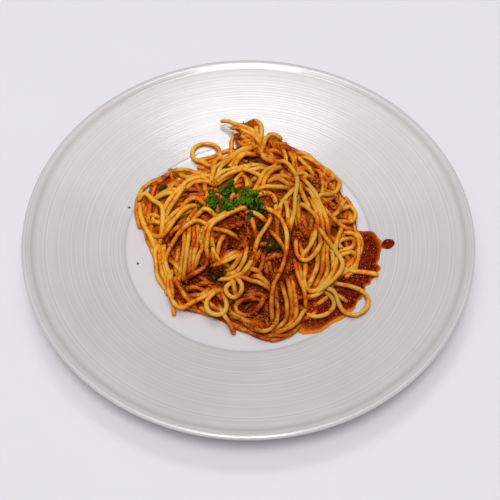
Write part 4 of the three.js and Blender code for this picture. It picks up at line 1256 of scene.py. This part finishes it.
# The herbed meat: one dark lump of mince rolled in chopped herbs. It is many small stones pressed together
# in an oval mound, meat and herbs mixed.
LUMP_MIDDLE = (-21, -36)
LUMP_HALF = (5.6, 4.6, 1.8)
LUMP_STONES = 560
HERB_EVERY = 5
SUNK_SHARE = 0.35
low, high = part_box("meat_lump")
lump_level = (low.z + high.z) / 2 / MM
parts, kinds = [], []
for number in range(LUMP_STONES):
    spot = draw.normal(size=3)
    spot = spot / np.linalg.norm(spot) * draw.uniform(0.5, 1) ** 0.5
    bearing = math.atan2(spot[1], spot[0])
    spot[:2] *= 0.9 + 0.24 * math.sin(3 * bearing + 1) + draw.normal(0, 0.1)
    spot[2] = abs(spot[2])
    place = np.array([*LUMP_MIDDLE, lump_level]) + spot * LUMP_HALF
    if draw.random() < SUNK_SHARE:
        under = value_at(surface, *place[:2])
        place[2] = draw.uniform(min(under, lump_level), lump_level)
    if number % HERB_EVERY:
        parts.append(crumb(place, draw.uniform(0.5, 1.1), draw))
        kinds.append(np.full(len(STONE_CORNERS), draw.uniform(0, 0.5)))
    else:
        parts.append(leaflet(place, draw.uniform(0.7, 1.3), draw.uniform(0, 1.2), draw))
        kinds.append(np.full(len(parts[-1][0]), draw.uniform(0.6, 1)))
lump = joined("herbed_meat", parts, {"kind": kinds})
herbed, sockets, shade = finish_of("herbed meat", Specular_IOR_Level=0.04)
kind = shade.attribute("kind")
fine = shade.noise(1300.0, 3.0, 0.6)
grain = fine.clear(0.3, 0.7)
meat = (0.8 * kind.clear(0.1, 0.5) ** 2 + 0.4 * grain - 0.15).blend(colour(20, 4, 0), colour(120, 52, 12))
herb = (0.6 * kind.clear(0.6, 1.0) + 0.5 * grain - 0.15).blend(colour(8, 20, 0), colour(80, 106, 18))
mixed = kind.clear(0.5, 0.6).blend(meat, herb)
dress(sockets, Base_Color=mixed, Roughness=0.4 + 0.25 * fine, Normal=shade.bump(fine, 0.0004, 0.7))
lump.data.materials.append(herbed)
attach(lump, "root")
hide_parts("meat_lump")

# The puddle: sauce that ran out beside the heap, grainy with fine mince, with a rim of orange oil round it.
# It is one thin wet sheet that follows the plate.
PUDDLE_OUTLINE = [
    (60, 5), (76, 8), (84, 7.5), (88.5, 0), (85, -15), (84, -26), (77, -32),
    (73, -40), (66, -53), (58, -59), (49, -65), (38, -70), (30, -66), (48, -30),
]
PUDDLE_MIDDLE = (62, -24)
PUDDLE_DEPTH = 1.35
PUDDLE_RINGS = 70
PUDDLE_SIDES = 260
OIL_RIM = 1.8


def sheet(place, height, rings, sides, level):
    """A closed sheet on the plate, and for its upper corners how far out they are, from 0 to 1."""
    corners, parts_out = [], []
    angles = 2 * math.pi * np.arange(sides) / sides
    for ring in range(rings + 1):
        part = ring / rings
        x, y = place(part, angles)
        base = plate_top(np.hypot(x, y)) + level
        corners.append(np.column_stack([x, y, base + height(part, x, y)]))
        parts_out.append(np.full(sides, part))
    upper = np.vstack([corners[0][:1], *corners[1:]])
    lower = upper.copy()
    lower[:, 2] = plate_top(np.hypot(upper[:, 0], upper[:, 1])) + level - 0.05
    value = np.concatenate([parts_out[0][:1], *parts_out[1:]])
    return (np.vstack([upper, lower]), *disc_faces(rings, sides)), value


outline = np.array(PUDDLE_OUTLINE, float) - PUDDLE_MIDDLE
bearing = np.degrees(np.arctan2(outline[:, 1], outline[:, 0])) % 360
order = np.argsort(bearing)
bearing, reaches = bearing[order], np.hypot(*outline[order].T)
bearing = np.concatenate([bearing[-1:] - 360, bearing, bearing[:1] + 360])
reaches = np.concatenate([reaches[-1:], reaches, reaches[:1]])
turns = np.arange(PUDDLE_SIDES) * 360 / PUDDLE_SIDES
puddle_reach = np.interp(turns, bearing, reaches)
padded = np.concatenate([puddle_reach[-6:], puddle_reach, puddle_reach[:6]])
puddle_reach = np.convolve(padded, np.ones(13) / 13, mode="valid")
puddle_reach += 1.1 * np.sin(np.radians(turns) * 17) * np.sin(np.radians(turns) * 5 + 1)


def puddle_place(part, angles):
    """The puddle's points at a part of the way out."""
    reach = part * (puddle_reach + OIL_RIM)
    return PUDDLE_MIDDLE[0] + reach * np.cos(angles), PUDDLE_MIDDLE[1] + reach * np.sin(angles)


def puddle_height(part, x, y):
    """The puddle's thickness: grainy, and thin at its rim of oil."""
    body = np.clip((1 - part) * 14, 0, 1) ** 0.6
    grain = np.random.default_rng(3)
    lumps = 1.1 * (grainy(x, y, 2.1, grain) - 0.45) + 0.8 * (grainy(x, y, 1.0, grain) - 0.5)
    return 0.22 + body * (PUDDLE_DEPTH - 0.5 + lumps * np.clip((1 - part) * 9 - 0.6, 0, 1))


shape, out = sheet(puddle_place, puddle_height, PUDDLE_RINGS, PUDDLE_SIDES, 0.12)
# More oil comes out towards the front
oily = out + 0.04 * np.clip((-shape[0][:len(out), 1] - 48) / 14, 0, 1)
puddle = joined("sauce_pool", [shape], {"out": [oily, oily]})
pool_finish, sockets, shade = finish_of("run-out sauce", Specular_IOR_Level=0.03)
out = shade.attribute("out")
fine = shade.noise(520.0, 4.0, 0.65)
stew = fine.clear(0.32, 0.72).blend(colour(48, 2, 0), colour(138, 38, 5))
# Pale flecks in the puddle: partly beads of fat, partly painted glints of wet sauce
fat_and_painted_glints = shade.noise(1200.0, 1.0, 0.5).clear(0.69, 0.74)
stew = fat_and_painted_glints.blend(stew, colour(246, 176, 110))
broad = shade.noise(70.0)
edge = out + 0.08 * (fine - 0.5) + 0.16 * (broad - 0.5)
stew = edge.clear(0.86, 0.96).blend(stew, colour(150, 60, 8))
stew = edge.clear(0.94, 1.0).blend(stew, colour(196, 112, 24))
dress(sockets, Base_Color=stew, Roughness=0.16 + 0.1 * fine, Normal=shade.bump(fine, 0.0008, 0.7))
puddle.data.materials.append(pool_finish)
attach(puddle, "root")
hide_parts("sauce_puddle")

# The drop: a round bead of the same sauce on the rim beside the puddle, with a short film of oil that reaches
# towards it. It is domed, wet and a little grainy.
DROP_MIDDLE = (94, -3)
DROP_RADIUS = 4.0
DROP_RINGS = 16
DROP_SIDES = 64
FILM_AZIMUTH = math.radians(198)
FILM_END = (89.6, -4.4)
FILM_LENGTH = 2.0


def drop_place(part, angles):
    """The drop's points at a part of the way out."""
    film = FILM_LENGTH * np.exp(-((angles - FILM_AZIMUTH) / 0.4) ** 2)
    reach = part * (DROP_RADIUS * (1 + 0.05 * np.sin(3 * angles + 1)) + film)
    return DROP_MIDDLE[0] + reach * np.cos(angles), DROP_MIDDLE[1] + reach * np.sin(angles)


def drop_height(part, x, y):
    """The drop's thickness: a dome with fine lumps."""
    grain = np.random.default_rng(9)
    return 0.2 + 1.35 * math.sqrt(1 - part**2) + 0.5 * (1 - part**4) * (grainy(x, y, 1.3, grain) - 0.5)


shape, out = sheet(drop_place, drop_height, DROP_RINGS, DROP_SIDES, 0.2)
# The film is as oily as the puddle's rim, and the bead less
from_film = np.hypot(*(shape[0][:, :2] - FILM_END).T)
oily = np.tile(out * 0.9, 2) + 0.14 * np.clip(1.6 - from_film / 2, 0, 1)
drop = joined("sauce_bead", [shape], {"out": [oily]})
drop.data.materials.append(pool_finish)
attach(drop, "root")
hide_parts("sauce_drop")
